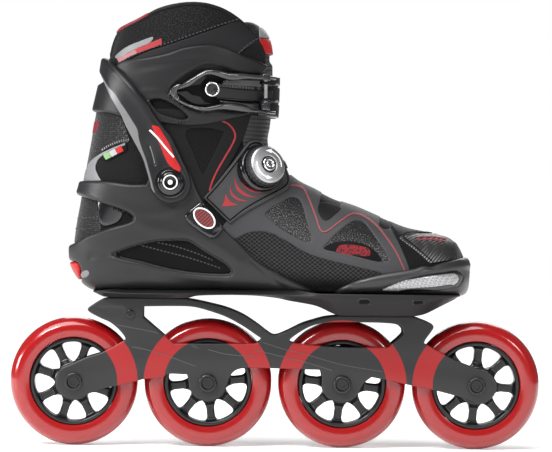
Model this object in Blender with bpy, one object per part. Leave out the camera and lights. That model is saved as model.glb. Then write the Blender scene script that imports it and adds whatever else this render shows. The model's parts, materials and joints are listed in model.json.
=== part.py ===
"""A right-foot inline skate: four wheels, a plate frame, a moulded shell and a soft boot with a cuff.

+X points to the toe, +Z up, and the outer (lateral) side faces -Y. The floor is Z = 0.
Outlines are side views, as (x, z) in millimetres; meshes are written in metres.
"""

import math

import bmesh
import bpy
from mathutils import Vector
from mathutils.bvhtree import BVHTree

MM = 0.001
GAP = 0.3

# Wheels
WHEEL_RADIUS = 50.0
WHEEL_PITCH = 104.5
WHEEL_WIDTH = 24.0
TYRE_INNER_RADIUS = 34.5
TYRE_SEGMENTS = 24
CROWN_HALF_WIDTH = 3.4
HUB_RIM_OUTER = 34.2
HUB_RIM_INNER = 30.4
HUB_CORE_RADIUS = 14.4
SPOKES = 8
SPOKE_WIDTH = 5.2
SPOKE_ANGLES = (27.0, 6.0, -6.5, -4.5)
BEARING_OUTER = 10.8
BEARING_BORE = 4.4
BEARING_WIDTH = 6.6
SPACER_HALF_LENGTH = 4.8
SPACER_RADIUS = 6.0
BEARING_SHOULDER_BORE = 8.6
AXLE_RADIUS = 4.0
AXLE_HEAD_RADIUS = 6.85
AXLE_HEAD_HEIGHT = 2.6
AXLE_SOCKET_RADIUS = 2.9
AXLE_SOCKET_DEPTH = 1.6
AXLE_CLEARANCE = 0.4

# Frame
PLATE_INNER_Y = 14.0
PLATE_OUTER_Y = 17.6
REAR_DECK_TOP = 115.7
REAR_DECK_BOTTOM = 111.0
FRONT_DECK_TOP = 103.7
FRONT_DECK_BOTTOM = 99.4
REAR_BOLT_X = -100.0
FRONT_BOLT_X = 95.0
SIDE_BOLT = (-113.0, 103.0)
REAR_DECK_X = (-130.0, -72.0)
FRONT_DECK_X = (66.0, 107.0)
CROSS_BRIDGES = ((-104.5, 78.0, 92.0), (0.0, 66.0, 80.0), (104.5, 72.0, 86.0))
BRIDGE_HALF_LENGTH = 3.0
MOUNT_BOLT_RADIUS = 4.0
MOUNT_HOLE_RADIUS = 4.4
MOUNT_HEAD_RADIUS = 6.5
MOUNT_HEAD_HEIGHT = 3.0
REAR_BOLT_TOP = 119.5
FRONT_BOLT_TOP = 115.0
SIDE_BOLT_RADIUS = 2.1
SIDE_HOLE_RADIUS = 2.5
SIDE_HEAD_RADIUS = 3.3
SIDE_HEAD_HEIGHT = 1.5

# Boot layers, as offsets from the soft boot's outer surface
LINING = -5.0
SKIN = 0.0
SHELL_INNER = 0.3
SHELL_OUTER = 3.8
STRAP_OUTER = 2.9
ARM_INNER = 4.2
ARM_OUTER = 7.2
CLOSURE_OUTER = 6.6
LADDER_INNER = 5.5
LADDER_OUTER = 7.6
BUCKLE_BASE_OUTER = 5.2
# The lever's loop steps down towards its tip: inner offset, outer offset, and the x range of each step.
LEVER_STEPS = ((8.2, 12.0, -45.0, 0.0), (6.0, 9.1, -56.0, -41.0), (4.5, 6.9, -90.0, -52.0))
SOLE_RIM_Z = 121.0
FOOTBED_TOP = 133.0

# Joints
PIVOT = (-82.6, 205.3)
LUG_RADIUS = 16.2
LUG_THICKNESS = 4.0
BOSS_RADIUS = 15.0
PIVOT_HOLE_RADIUS = 4.5
PIVOT_BOLT_RADIUS = 4.1
PIVOT_CAP_RADIUS = 9.4
PIVOT_CAP_HEIGHT = 2.4
BUCKLE_PIN_X = -10.0
BUCKLE_PIN_LOW = 263.5
BUCKLE_PIN_HIGH = 289.5
BUCKLE_PIN_OFFSET = 12.0
BUCKLE_PIN_RADIUS = 1.5
BUCKLE_HOLE_RADIUS = 1.9
BUCKLE_CHEEKS = ((269.0, 271.2), (281.8, 284.2))
CHEEK_HALF_WIDTH = 3.2
LEVER_KNUCKLES = ((264.0, 268.4), (284.8, 289.0))
LEVER_KNUCKLE_RADIUS = 3.4
DIAL_PLACE = (-13.8, 216.5)
DIAL_BASE_RADIUS = 18.5
DIAL_KNOB_RADIUS = 16.4
DIAL_CAP_RADIUS = 5.8
SPOOL_RADIUS = 8.6
SPOOL_NECK_RADIUS = 2.6

# Each row is one cross-section of the boot, from the nose over the instep and heel to the collar:
# the section's lower or back end (x, z), its upper or front end (x, z), its half width, where along the
# section it is widest (0 to 1), and how square its lower and its upper half are.
BOOT_SECTIONS = (
    (146.8, 129.0, 146.8, 147.0, 7.0, 0.50, 2.2, 2.2),
    (145.8, 125.0, 145.0, 151.5, 15.0, 0.48, 2.4, 2.2),
    (143.0, 122.8, 142.5, 156.5, 23.5, 0.44, 2.7, 2.2),
    (138.0, 121.9, 137.8, 163.0, 31.0, 0.40, 3.0, 2.3),
    (130.0, 121.6, 130.0, 166.6, 38.0, 0.37, 3.2, 2.3),
    (118.0, 121.5, 117.0, 168.9, 44.0, 0.35, 3.4, 2.3),
    (102.0, 121.5, 99.5, 172.5, 48.3, 0.33, 3.6, 2.3),
    (82.0, 121.5, 81.0, 180.0, 50.5, 0.32, 3.6, 2.2),
    (60.0, 121.5, 62.0, 188.0, 50.0, 0.32, 3.6, 2.1),
    (38.0, 121.6, 44.0, 194.0, 47.5, 0.33, 3.6, 2.0),
    (15.0, 122.0, 29.0, 201.5, 44.5, 0.34, 3.6, 2.0),
    (-8.0, 123.0, 16.0, 208.0, 42.0, 0.36, 3.6, 2.0),
    (-32.0, 124.0, 5.0, 217.0, 40.0, 0.38, 3.6, 2.0),
    (-56.0, 124.0, -3.5, 227.5, 38.8, 0.40, 3.6, 2.05),
    (-80.0, 124.0, -7.0, 238.5, 38.3, 0.41, 3.6, 2.1),
    (-103.0, 124.0, -5.5, 250.0, 38.3, 0.42, 3.4, 2.1),
    (-124.0, 124.0, -4.3, 262.0, 38.6, 0.42, 3.2, 2.15),
    (-142.0, 125.5, -4.0, 273.0, 39.0, 0.43, 2.8, 2.2),
    (-153.0, 135.0, -3.8, 283.0, 39.8, 0.44, 2.5, 2.2),
    (-157.8, 148.0, -3.8, 292.0, 41.0, 0.45, 2.3, 2.2),
    (-156.6, 168.0, -4.0, 300.0, 42.5, 0.46, 2.25, 2.2),
    (-153.0, 190.0, -4.5, 308.0, 44.0, 0.47, 2.2, 2.2),
    (-149.5, 212.0, -6.0, 316.0, 45.0, 0.48, 2.2, 2.2),
    (-145.5, 235.0, -9.0, 323.0, 46.0, 0.50, 2.2, 2.2),
    (-142.0, 257.0, -14.0, 329.0, 46.5, 0.50, 2.2, 2.2),
    (-137.0, 280.0, -18.0, 335.0, 46.5, 0.50, 2.2, 2.2),
    (-132.0, 303.0, -20.0, 344.0, 46.0, 0.50, 2.2, 2.2),
    (-128.0, 322.0, -22.0, 356.0, 45.5, 0.50, 2.2, 2.2),
    (-126.0, 340.0, -24.0, 370.0, 45.0, 0.50, 2.2, 2.2),
)
SECTION_POINTS = 20
REACH = 90.0

FRAME_OUTLINE = (
    (-146.5, 106), (-141, 111), (-129.5, 115.7), (-72, 115.7), (-50.5, 112), (-38.5, 109), (-26, 104),
    (-14, 96.5), (-6, 90.5), (-0.5, 87.5), (8.5, 91), (20.5, 97), (31, 100.5), (48, 103.7), (107, 103.7),
    (113.5, 101.5), (121.5, 98), (123, 95), (121.5, 92.5), (115.5, 83), (139, 70.5), (152.5, 65),
    (169, 58.5), (173, 51), (170.5, 43), (163.5, 36.5), (156, 37), (141.5, 42), (125.5, 46), (103, 50.5),
    (75, 56), (70, 52), (64, 41.5), (51.5, 37), (43, 38), (36.5, 47), (36, 61), (20, 61.5), (-22, 62),
    (-34, 57), (-36.5, 51), (-44.5, 39), (-53, 37), (-64, 40), (-68.5, 56.5), (-84, 56.5), (-86.5, 53.5),
    (-107, 51), (-134, 44.5), (-147, 40), (-157, 36.3), (-167, 40.5), (-170.7, 50), (-167, 59.5),
    (-157, 64), (-147, 69), (-135, 73), (-116.5, 83), (-122.5, 91.5), (-137, 100),
)
FRAME_GAP_REAR = (
    (-103, 109), (-76, 109.5), (-64, 109), (-51.5, 106), (-38.5, 101.5), (-26, 95), (-15.5, 88),
    (-10.5, 85), (-14, 81.5), (-79, 80.5), (-87, 87), (-103, 100.5),
)
FRAME_GAP_FRONT = (
    (10.5, 84.5), (21.5, 92), (30, 96), (40, 98), (71.5, 98.5), (88.5, 98), (94.5, 97), (99.5, 91),
    (90, 81.5), (88, 79.5), (50, 79), (13.5, 82),
)

# The moulded sole under the boot: x, half width at its rim, height of its underside, half width there
SOLE_STATIONS = (
    (-141.0, 20.0, 119.6, 12.0), (-131.0, 27.0, 116.0, 17.0), (-110.0, 34.0, 116.0, 20.0),
    (-72.0, 38.5, 116.0, 20.0), (-60.5, 39.5, 118.0, 20.0), (-39.0, 41.0, 118.8, 20.0),
    (-17.5, 43.0, 118.6, 22.0), (0.0, 45.0, 117.0, 22.0), (10.0, 46.5, 115.0, 22.0),
    (30.0, 49.0, 111.5, 23.0), (48.0, 51.5, 104.0, 24.0), (75.0, 53.3, 104.0, 24.0),
    (107.0, 50.0, 104.0, 24.0), (115.0, 47.3, 105.5, 22.0), (122.0, 44.0, 109.0, 20.0),
    (130.0, 39.0, 113.0, 16.0), (138.5, 31.0, 117.0, 12.0), (142.5, 24.5, 119.5, 8.0),
)

SHELL_OUTLINE = (
    (-175, 118), (46, 118), (46, 121.2), (40.5, 121.5), (30.5, 123.5), (20, 127.5), (10, 132), (0.5, 137),
    (-9, 141), (-18, 148), (-28.5, 158.5), (-40, 169), (-58, 192), (-66, 209), (-72, 216.5),
    (-82.7, 220.4), (-93, 216.5), (-101, 203), (-113.5, 203.5), (-126.5, 205), (-142.5, 206),
    (-175, 205), (-175, 197.5), (-153, 194), (-149, 193.5), (-131.5, 188), (-121, 184.5), (-111, 178),
    (-115, 174), (-128, 170), (-139, 166), (-146.5, 162.5), (-158, 156), (-175, 150),
)
SHELL_WINDOW = (
    (-127, 150), (-122.5, 152), (-111, 156.5), (-94.5, 160.5), (-74, 161.5), (-67.5, 160.8), (-58, 155),
    (-48, 149), (-39.3, 144), (-33.7, 137), (-41.5, 134.7), (-55.5, 135), (-71.7, 136.5), (-88, 139.5),
    (-104, 143.5), (-120.5, 147),
)
BUMPER_OUTLINE = (
    (43, 122.3), (60, 130), (71.5, 133), (82, 135.5), (95.5, 138), (108, 140.5), (120.5, 144), (133, 148),
    (143.5, 150), (160, 150), (160, 121.6), (43, 121.6),
)
TOE_TRIM_OUTLINE = (
    (83, 126), (95, 131), (110, 134), (128, 136.5), (139, 137), (141, 133), (139, 127.5), (128, 125.5),
    (105, 124.8),
)
HEEL_INSERT_OUTLINE = ((-175, 130), (-151, 130), (-149.5, 134), (-150.5, 140), (-153, 143.2), (-175, 143.2))
# The pocket is the insert's outline with a fit of 0.4 mm on its three inner sides.
HEEL_POCKET = tuple((x + (0.4 if x > -170 else 0.0), z + (0.4 if z > 137 else -0.4))
                    for x, z in HEEL_INSERT_OUTLINE)

GUSSET_LOW = ((-175, 231), (-130, 233), (-82, 234), (-40, 233))
GUSSET_HIGH = ((-175, 245), (-130, 247), (-82, 248), (-40, 248))
TONGUE_LOW = (-20.0, 214.0)
TONGUE_HIGH = (-36.0, 340.0)
RIM_OUTLINE = (
    (-133.5, 304), (-130, 313.5), (-127.5, 319), (-123.5, 324.5), (-110, 331), (-94, 339.5), (-83, 342.5),
    (-72, 344.3), (-63.7, 344.4), (-55, 343.6), (-44, 340.5), (-33.5, 335), (-26, 331), (-19.5, 332),
    (-13, 330), (-6, 322.5), (-4.5, 317), (10, 300),
)

CUFF_OUTLINE = (
    (-175, 261), (-140, 259.5), (-129.5, 258.5), (-118.5, 255.5), (-104, 252), (-85, 250.5), (-73, 249.5),
    (-57, 250.5), (-41, 254), (-25, 258.5), (-21.5, 262), (-21.5, 285), (-14, 294), (-10.3, 297.5),
    (-28.7, 304), (-40.5, 308.7), (-49.5, 311), (-58, 311), (-74, 308.5), (-85, 304.5), (-100, 301),
    (-120, 298), (-131, 283), (-175, 281),
)
YOKE_OUTLINE = (
    (-175, 303.5), (-129, 302), (-123.5, 295.5), (-113.5, 287), (-101.5, 271), (-93, 258), (-84, 243),
    (-73, 223.5), (-68, 212), (-68, 198), (-82, 190), (-97, 198), (-98.5, 205), (-102, 218),
    (-107.5, 236), (-116.5, 253.5), (-129, 275), (-137, 284), (-175, 285),
)
CLOSURE_LOW = 264.0
CLOSURE_HIGH = 282.0
LADDER_OUTLINE = ((-61, 274), (-57, 271.5), (-9, 271.5), (-9, 281.5), (-57, 281.5), (-61, 279))
LADDER_SCREW = (-53.7, 276.5)
LEVER_OUTLINE = (
    (-80.5, 277.5), (-75, 282.5), (-66, 287.5), (-57, 289.8), (-46, 288.2), (-38, 286.9), (-30, 287.3),
    (-20, 289), (-10.6, 289), (-10.6, 284.6), (-20, 284.3), (-30, 283.2), (-40, 283), (-47, 284.3), (-54, 285.6),
    (-61, 284), (-64.5, 280.5), (-65, 276.5), (-62, 272.5), (-55, 269.9), (-46, 270.3), (-38, 270.9),
    (-28, 269.8), (-20, 268.4), (-10.6, 268.4), (-10.6, 264), (-20, 264), (-32, 265), (-42, 267), (-50, 266.8),
    (-58, 265.6), (-67, 267.5), (-75, 272),
)
BASE_OUTLINE = ((-18, 258), (12, 256), (12, 289), (-18, 288))

STRAP_OUTLINE = (
    (-55, 193.5), (-22, 236.5), (-15, 236.5), (0, 230), (20, 214), (20, 203), (8, 199), (1, 195),
    (-13, 188.5), (-26, 181.5), (-36.5, 174.8),
)
ANCHOR_OUTLINE = ((-57.5, 192.5), (-70.5, 178.5), (-68, 173), (-49.5, 162), (-40, 170.5))
ANCHOR_BADGE_CENTRE = (-56.0, 177.7)
CABLE_RADIUS = 0.9


def clear_scene():
    for obj in list(bpy.data.objects):
        bpy.data.objects.remove(obj, do_unlink=True)


def material(name, colour, roughness, metallic=0.0):
    made = bpy.data.materials.new(name)
    made.use_nodes = True
    shader = made.node_tree.nodes["Principled BSDF"]
    shader.inputs["Base Color"].default_value = (*colour, 1.0)
    shader.inputs["Roughness"].default_value = roughness
    shader.inputs["Metallic"].default_value = metallic
    return made


def mesh_object(name, points, faces):
    """A closed mesh from points in millimetres, with its faces turned outwards."""
    mesh = bpy.data.meshes.new(name)
    mesh.from_pydata([Vector(p) * MM for p in points], [], faces)
    shape = bmesh.new()
    shape.from_mesh(mesh)
    bmesh.ops.recalc_face_normals(shape, faces=shape.faces)
    shape.to_mesh(mesh)
    shape.free()
    obj = bpy.data.objects.new(name, mesh)
    bpy.context.scene.collection.objects.link(obj)
    return obj


def combine(target, tool, operation, keep_tool=False):
    """The Boolean of two meshes, applied to the first one."""
    modifier = target.modifiers.new("combine", "BOOLEAN")
    modifier.operation = operation
    modifier.object = tool
    modifier.solver = "EXACT"
    graph = bpy.context.evaluated_depsgraph_get()
    graph.update()
    result = bpy.data.meshes.new_from_object(target.evaluated_get(graph))
    target.modifiers.remove(modifier)
    target.data = result
    if not keep_tool:
        bpy.data.objects.remove(tool, do_unlink=True)
    return target


def cut(target, *tools):
    for tool in tools:
        combine(target, tool, "DIFFERENCE")
    return target


def join(target, *tools):
    for tool in tools:
        combine(target, tool, "UNION")
    return target


def common(target, tool):
    return combine(target, tool, "INTERSECT")


def prism(outline, y_low=-REACH, y_high=REACH):
    """A side-view outline, extruded across the skate."""
    count = len(outline)
    points = [(x, y_low, z) for x, z in outline] + [(x, y_high, z) for x, z in outline]
    faces = [tuple(range(count)), tuple(range(2 * count - 1, count - 1, -1))]
    faces += [(i, (i + 1) % count, count + (i + 1) % count, count + i) for i in range(count)]
    return mesh_object("prism", points, faces)


def box(x_range, y_range, z_range):
    (x0, x1), (z0, z1) = x_range, z_range
    return prism(((x0, z0), (x1, z0), (x1, z1), (x0, z1)), *y_range)


def circle(centre, radius, count):
    turns = [2 * math.pi * i / count for i in range(count)]
    return tuple((centre[0] + radius * math.cos(t), centre[1] + radius * math.sin(t)) for t in turns)


def lathe(profile, segments, place=(0.0, 0.0, 0.0), axis=(0.0, 1.0, 0.0), turn=0.0):
    """A profile of (radius, height) turned about an axis. It may start and end on the axis or be a ring."""
    direction = Vector(axis).normalized()
    to_axis = Vector((0.0, 0.0, 1.0)).rotation_difference(direction).to_matrix()
    points, rows = [], []
    for radius, height in profile:
        first = len(points)
        if radius == 0.0:
            points.append(Vector(place) + direction * height)
            rows.append([first] * segments)
            continue
        for i in range(segments):
            angle = turn + 2 * math.pi * (i + 0.5) / segments
            spoke = Vector((radius * math.cos(angle), radius * math.sin(angle), height))
            points.append(Vector(place) + to_axis @ spoke)
        rows.append([first + i for i in range(segments)])
    on_axis = profile[0][0] == 0.0
    pairs = list(zip(rows, rows[1:])) if on_axis else list(zip(rows, rows[1:] + rows[:1]))
    faces = []
    for lower, upper in pairs:
        for i in range(segments):
            j = (i + 1) % segments
            corners = (lower[i], lower[j], upper[j], upper[i])
            faces.append(tuple(dict.fromkeys(corners)))
    return mesh_object("lathe", points, faces)


def cylinder(radius, low, high, place, axis=(0.0, 1.0, 0.0), segments=24):
    return lathe(((0.0, low), (radius, low), (radius, high), (0.0, high)), segments, place, axis)


def section_values(u):
    """The boot's cross-section at station u, on a smooth curve through BOOT_SECTIONS."""
    last = len(BOOT_SECTIONS) - 1
    i = min(max(int(math.floor(u)), 0), last - 1)
    t = u - i
    p0, p1 = BOOT_SECTIONS[max(i - 1, 0)], BOOT_SECTIONS[i]
    p2, p3 = BOOT_SECTIONS[i + 1], BOOT_SECTIONS[min(i + 2, last)]
    return [
        0.5 * (2 * b + (c - a) * t + (2 * a - 5 * b + 4 * c - d) * t**2 + (3 * b - a - 3 * c + d) * t**3)
        for a, b, c, d in zip(p0, p1, p2, p3)
    ]


def boot_point(u, v):
    """A point of the soft boot's outer surface: v is the angle round the section, 0 at its upper end."""
    back_x, back_z, front_x, front_z, half_width, widest, square_low, square_high = section_values(u)
    along, across = math.cos(v), math.sin(v)
    square = square_high if along >= 0.0 else square_low
    y = half_width * math.copysign(abs(across) ** (2.0 / square), across)
    reach = abs(along) ** (2.0 / square)
    s = widest + (1.0 - widest) * reach if along >= 0.0 else widest * (1.0 - reach)
    return Vector((back_x + (front_x - back_x) * s, y, back_z + (front_z - back_z) * s))


def boot_normal(u, v):
    step_u, step_v = 0.05, 0.05
    top = len(BOOT_SECTIONS) - 1
    along_u = boot_point(min(u + step_u, top), v) - boot_point(max(u - step_u, 0.0), v)
    along_v = boot_point(u, v + step_v) - boot_point(u, v - step_v)
    normal = along_v.cross(along_u).normalized()
    centre = section_values(u)
    middle = Vector(((centre[0] + centre[2]) / 2, 0.0, (centre[1] + centre[3]) / 2))
    outward = boot_point(u, v) - middle
    return normal if normal.dot(outward) >= 0.0 or u < 3.0 and normal.x > 0.0 else -normal


def boot_solid(offset):
    """Everything inside the boot's outer surface, moved out by offset."""
    sections = len(BOOT_SECTIONS)
    points, faces = [], []
    for u in range(sections):
        for j in range(SECTION_POINTS):
            v = 2 * math.pi * j / SECTION_POINTS
            points.append(boot_point(u, v) + boot_normal(u, v) * offset)
    for u in range(sections - 1):
        for j in range(SECTION_POINTS):
            k = (j + 1) % SECTION_POINTS
            row, above = u * SECTION_POINTS, (u + 1) * SECTION_POINTS
            faces.append((row + j, row + k, above + k))
            faces.append((row + j, above + k, above + j))
    faces.append(tuple(range(SECTION_POINTS)))
    faces.append(tuple(range(sections * SECTION_POINTS - 1, (sections - 1) * SECTION_POINTS - 1, -1)))
    return mesh_object("boot", points, faces)


def layer(inner, outer, *limits):
    """A skin of the boot between two offsets, kept inside each of the limiting solids."""
    skin = boot_solid(outer)
    for limit in limits:
        common(skin, limit)
    return cut(skin, boot_solid(inner))


def surface_place(x, z, offset):
    """Where the lateral surface at an offset lies at (x, z), and its outward normal."""
    solid = boot_solid(offset)
    tree = BVHTree.FromPolygons([v.co.copy() for v in solid.data.vertices],
                                [tuple(p.vertices) for p in solid.data.polygons])
    hit, normal, _, _ = tree.ray_cast(Vector((x * MM, -0.2, z * MM)), Vector((0.0, 1.0, 0.0)))
    bpy.data.objects.remove(solid, do_unlink=True)
    return hit / MM, -normal if normal.y > 0.0 else normal


def node(obj, name, finish, smooth_below=35.0):
    """Names a finished solid, gives it its material and cleans points that a Boolean left doubled."""
    shape = bmesh.new()
    shape.from_mesh(obj.data)
    bmesh.ops.remove_doubles(shape, verts=shape.verts, dist=2e-6)
    bmesh.ops.dissolve_degenerate(shape, edges=shape.edges, dist=2e-6)
    bmesh.ops.dissolve_limit(shape, angle_limit=math.radians(0.2), verts=shape.verts, edges=shape.edges)
    bmesh.ops.triangulate(shape, faces=shape.faces)
    mesh = bpy.data.meshes.new(name)
    shape.to_mesh(mesh)
    shape.free()
    mesh.materials.append(finish)
    mesh.shade_smooth()
    mesh.set_sharp_from_angle(angle=math.radians(smooth_below))
    obj.data = mesh
    obj.name = name
    return obj


def tyre_profile():
    """Half of the tread's section, as (radius, y), from its inner edge to its crown."""
    crown = WHEEL_RADIUS / math.cos(math.pi / TYRE_SEGMENTS)
    half = WHEEL_WIDTH / 2
    return [
        (TYRE_INNER_RADIUS, half - 1.8), (TYRE_INNER_RADIUS + 2.0, half), (43.5, half - 1.2),
        (47.6, half - 4.2), (crown - 0.5, half - 7.0), (crown, CROWN_HALF_WIDTH),
    ]


def make_wheels(finishes):
    for index, angle in enumerate(SPOKE_ANGLES):
        x = (index - 1.5) * WHEEL_PITCH
        place = (x, 0.0, WHEEL_RADIUS)
        number = index + 1
        make_tyre(number, place, finishes)
        make_hub(number, place, math.radians(angle), finishes)
        make_axle_set(number, place, finishes)


def make_tyre(number, place, finishes):
    half = tyre_profile()
    profile = half + [(r, -y) for r, y in reversed(half)]
    # A facet, not an edge, rests on the floor.
    tyre = lathe(profile, TYRE_SEGMENTS, place)
    node(tyre, f"tyre_{number}", finishes["urethane"], 50.0)


def make_hub(number, place, angle, finishes):
    rim = lathe(((HUB_RIM_INNER, -8.0), (HUB_RIM_OUTER, -9.5), (HUB_RIM_OUTER, 9.5), (HUB_RIM_INNER, 8.0)),
                TYRE_SEGMENTS, place)
    core_half = WHEEL_WIDTH / 2
    shoulder = SPACER_HALF_LENGTH + 0.1
    seat = BEARING_OUTER + GAP
    core = lathe(((BEARING_SHOULDER_BORE, -shoulder), (seat, -shoulder), (seat, -core_half),
                  (HUB_CORE_RADIUS, -core_half), (HUB_CORE_RADIUS + 1.0, 0.0), (HUB_CORE_RADIUS, core_half),
                  (seat, core_half), (seat, shoulder), (BEARING_SHOULDER_BORE, shoulder)), 12, place)
    hub = join(rim, core)
    for i in range(SPOKES):
        turn = angle + 2 * math.pi * i / SPOKES
        outline = [(12.6, 4.4), (22.0, SPOKE_WIDTH / 2), (31.6, 4.4)]
        outline += [(r, -w) for r, w in reversed(outline)]
        turned = [(place[0] + r * math.cos(turn) - w * math.sin(turn),
                   place[2] + r * math.sin(turn) + w * math.cos(turn)) for r, w in outline]
        join(hub, prism(turned, -6.0, 6.0))
    node(hub, f"hub_{number}", finishes["hub"])


def make_axle_set(number, place, finishes):
    for side, sign in (("outer", -1.0), ("inner", 1.0)):
        face = SPACER_HALF_LENGTH + GAP
        low, high = sorted((sign * face, sign * (face + BEARING_WIDTH)))
        bearing = lathe(((BEARING_BORE, low), (BEARING_OUTER, low), (BEARING_OUTER, high),
                         (BEARING_BORE, high)), 12, place)
        node(bearing, f"bearing_{side}_{number}", finishes["steel"])
    spacer = lathe(((BEARING_BORE, -SPACER_HALF_LENGTH), (SPACER_RADIUS, -SPACER_HALF_LENGTH),
                    (SPACER_RADIUS, SPACER_HALF_LENGTH), (BEARING_BORE, SPACER_HALF_LENGTH)), 8, place)
    node(spacer, f"bearing_spacer_{number}", finishes["aluminium"])
    seat = PLATE_OUTER_Y + GAP
    head = seat + AXLE_HEAD_HEIGHT
    socket_floor = -head + AXLE_SOCKET_DEPTH
    axle = lathe(((0.0, socket_floor), (AXLE_SOCKET_RADIUS, socket_floor),
                  (AXLE_SOCKET_RADIUS + 0.2, -head), (AXLE_HEAD_RADIUS - 0.6, -head),
                  (AXLE_HEAD_RADIUS, -head + 0.6), (AXLE_HEAD_RADIUS, -seat), (AXLE_RADIUS, -seat),
                  (AXLE_RADIUS, seat), (AXLE_HEAD_RADIUS, seat), (AXLE_HEAD_RADIUS, head), (0.0, head)),
                 12, place)
    node(axle, f"axle_{number}", finishes["black_steel"])


def make_frame(finishes):
    plates = []
    for low, high in ((-PLATE_OUTER_Y, -PLATE_INNER_Y), (PLATE_INNER_Y, PLATE_OUTER_Y)):
        plate = prism(FRAME_OUTLINE, low, high)
        cut(plate, prism(FRAME_GAP_REAR), prism(FRAME_GAP_FRONT))
        plates.append(plate)
    frame = plates[0]
    across = (-PLATE_INNER_Y - 1.0, PLATE_INNER_Y + 1.0)
    join(frame, box(REAR_DECK_X, across, (REAR_DECK_BOTTOM, REAR_DECK_TOP - 0.1)))
    join(frame, plates[1])
    join(frame, box(FRONT_DECK_X, across, (FRONT_DECK_BOTTOM, FRONT_DECK_TOP - 0.1)))
    for x, low, high in CROSS_BRIDGES:
        join(frame, box((x - BRIDGE_HALF_LENGTH, x + BRIDGE_HALF_LENGTH), across, (low, high)))
    for index in range(4):
        place = ((index - 1.5) * WHEEL_PITCH, 0.0, WHEEL_RADIUS)
        cut(frame, cylinder(AXLE_RADIUS + AXLE_CLEARANCE, -REACH, REACH, place, segments=12))
    for x, z in ((REAR_BOLT_X, REAR_DECK_TOP), (FRONT_BOLT_X, FRONT_DECK_TOP)):
        cut(frame, cylinder(MOUNT_HOLE_RADIUS, -12.0, 12.0, (x, 0.0, z), (0.0, 0.0, 1.0), 12))
    side_x, side_z = SIDE_BOLT
    cut(frame, cylinder(SIDE_HOLE_RADIUS, -REACH, 0.0, (side_x, 0.0, side_z), segments=8))
    node(frame, "frame", finishes["frame"])


def make_frame_bolts(finishes):
    for name, x, deck_low, top in (("rear_mount_bolt", REAR_BOLT_X, REAR_DECK_BOTTOM, REAR_BOLT_TOP),
                                   ("front_mount_bolt", FRONT_BOLT_X, FRONT_DECK_BOTTOM, FRONT_BOLT_TOP)):
        under = deck_low - GAP
        head = under - MOUNT_HEAD_HEIGHT
        bolt = lathe(((0.0, head), (MOUNT_HEAD_RADIUS, head), (MOUNT_HEAD_RADIUS, under),
                      (MOUNT_BOLT_RADIUS, under), (MOUNT_BOLT_RADIUS, top), (0.0, top)),
                     12, (x, 0.0, 0.0), (0.0, 0.0, 1.0))
        node(bolt, name, finishes["black_steel"])
    seat = -PLATE_OUTER_Y - GAP
    face = seat - SIDE_HEAD_HEIGHT
    end = -PLATE_INNER_Y + 0.6
    side_x, side_z = SIDE_BOLT
    bolt = lathe(((0.0, face), (SIDE_HEAD_RADIUS, face), (SIDE_HEAD_RADIUS, seat), (SIDE_BOLT_RADIUS, seat),
                  (SIDE_BOLT_RADIUS, end), (0.0, end)), 10, (side_x, 0.0, side_z))
    node(bolt, "frame_side_bolt", finishes["black_steel"])


def sole_solid():
    """The tapered hull under the boot, lofted from heel to toe."""
    points, faces = [], []
    for x, rim, low, half in SOLE_STATIONS:
        edge = (SOLE_RIM_Z + low) / 2 + (SOLE_RIM_Z - low) * 0.22
        section = [(rim, SOLE_RIM_Z), (rim, edge), (half, low)]
        section += [(-y, z) for y, z in reversed(section)]
        points += [(x, y, z) for y, z in section]
    count = 6
    for i in range(len(SOLE_STATIONS) - 1):
        for j in range(count):
            k = (j + 1) % count
            faces.append((i * count + j, i * count + k, (i + 1) * count + k, (i + 1) * count + j))
    faces.append(tuple(range(count)))
    faces.append(tuple(range(len(points) - 1, len(points) - 1 - count, -1)))
    return mesh_object("sole", points, faces)


def pivot_boss_y():
    """How far out the flat pivot bosses stand, clear of the curved shell round them."""
    reach = 0.0
    for x, z in circle(PIVOT, 13.0, 8):
        place, _ = surface_place(x, z, SHELL_OUTER)
        reach = max(reach, -place.y)
    return reach + 0.2


def make_shell(boss_y, finishes):
    shell = common(boot_solid(SHELL_OUTER), prism(SHELL_OUTLINE))
    cut(shell, prism(SHELL_WINDOW), prism(HEEL_POCKET))
    join(shell, sole_solid())
    for sign in (-1.0, 1.0):
        low, high = sorted((sign * 20.0, sign * boss_y))
        join(shell, cylinder(BOSS_RADIUS, low, high, (PIVOT[0], 0.0, PIVOT[1])))
    cut(shell, boot_solid(SHELL_INNER))
    cut(shell, cylinder(PIVOT_HOLE_RADIUS, -REACH, REACH, (PIVOT[0], 0.0, PIVOT[1]), segments=16))
    for x, top in ((REAR_BOLT_X, REAR_BOLT_TOP + 0.5), (FRONT_BOLT_X, FRONT_BOLT_TOP + 1.0)):
        cut(shell, cylinder(MOUNT_HOLE_RADIUS, 90.0, top, (x, 0.0, 0.0), (0.0, 0.0, 1.0), 12))
    node(shell, "shell", finishes["shell"])
    insert = layer(SHELL_INNER, SHELL_OUTER + 0.5, prism(HEEL_INSERT_OUTLINE))
    node(insert, "heel_insert", finishes["red_plastic"])


def make_toe(finishes):
    bumper = layer(SHELL_INNER, SHELL_OUTER, prism(BUMPER_OUTLINE))
    node(bumper, "toe_bumper", finishes["gloss_rubber"])
    for name, low, high in (("toe_trim_outer", -REACH, 0.0), ("toe_trim_inner", 0.0, REACH)):
        trim = layer(SHELL_OUTER + GAP, SHELL_OUTER + 1.2, prism(TOE_TRIM_OUTLINE, low, high))
        node(trim, name, finishes["carbon"])


def tongue_edge(z):
    """How far forward the boot's sides reach at a height, up to the tongue."""
    along = (z - TONGUE_LOW[1]) / (TONGUE_HIGH[1] - TONGUE_LOW[1])
    return TONGUE_LOW[0] + (TONGUE_HIGH[0] - TONGUE_LOW[0]) * along


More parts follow.
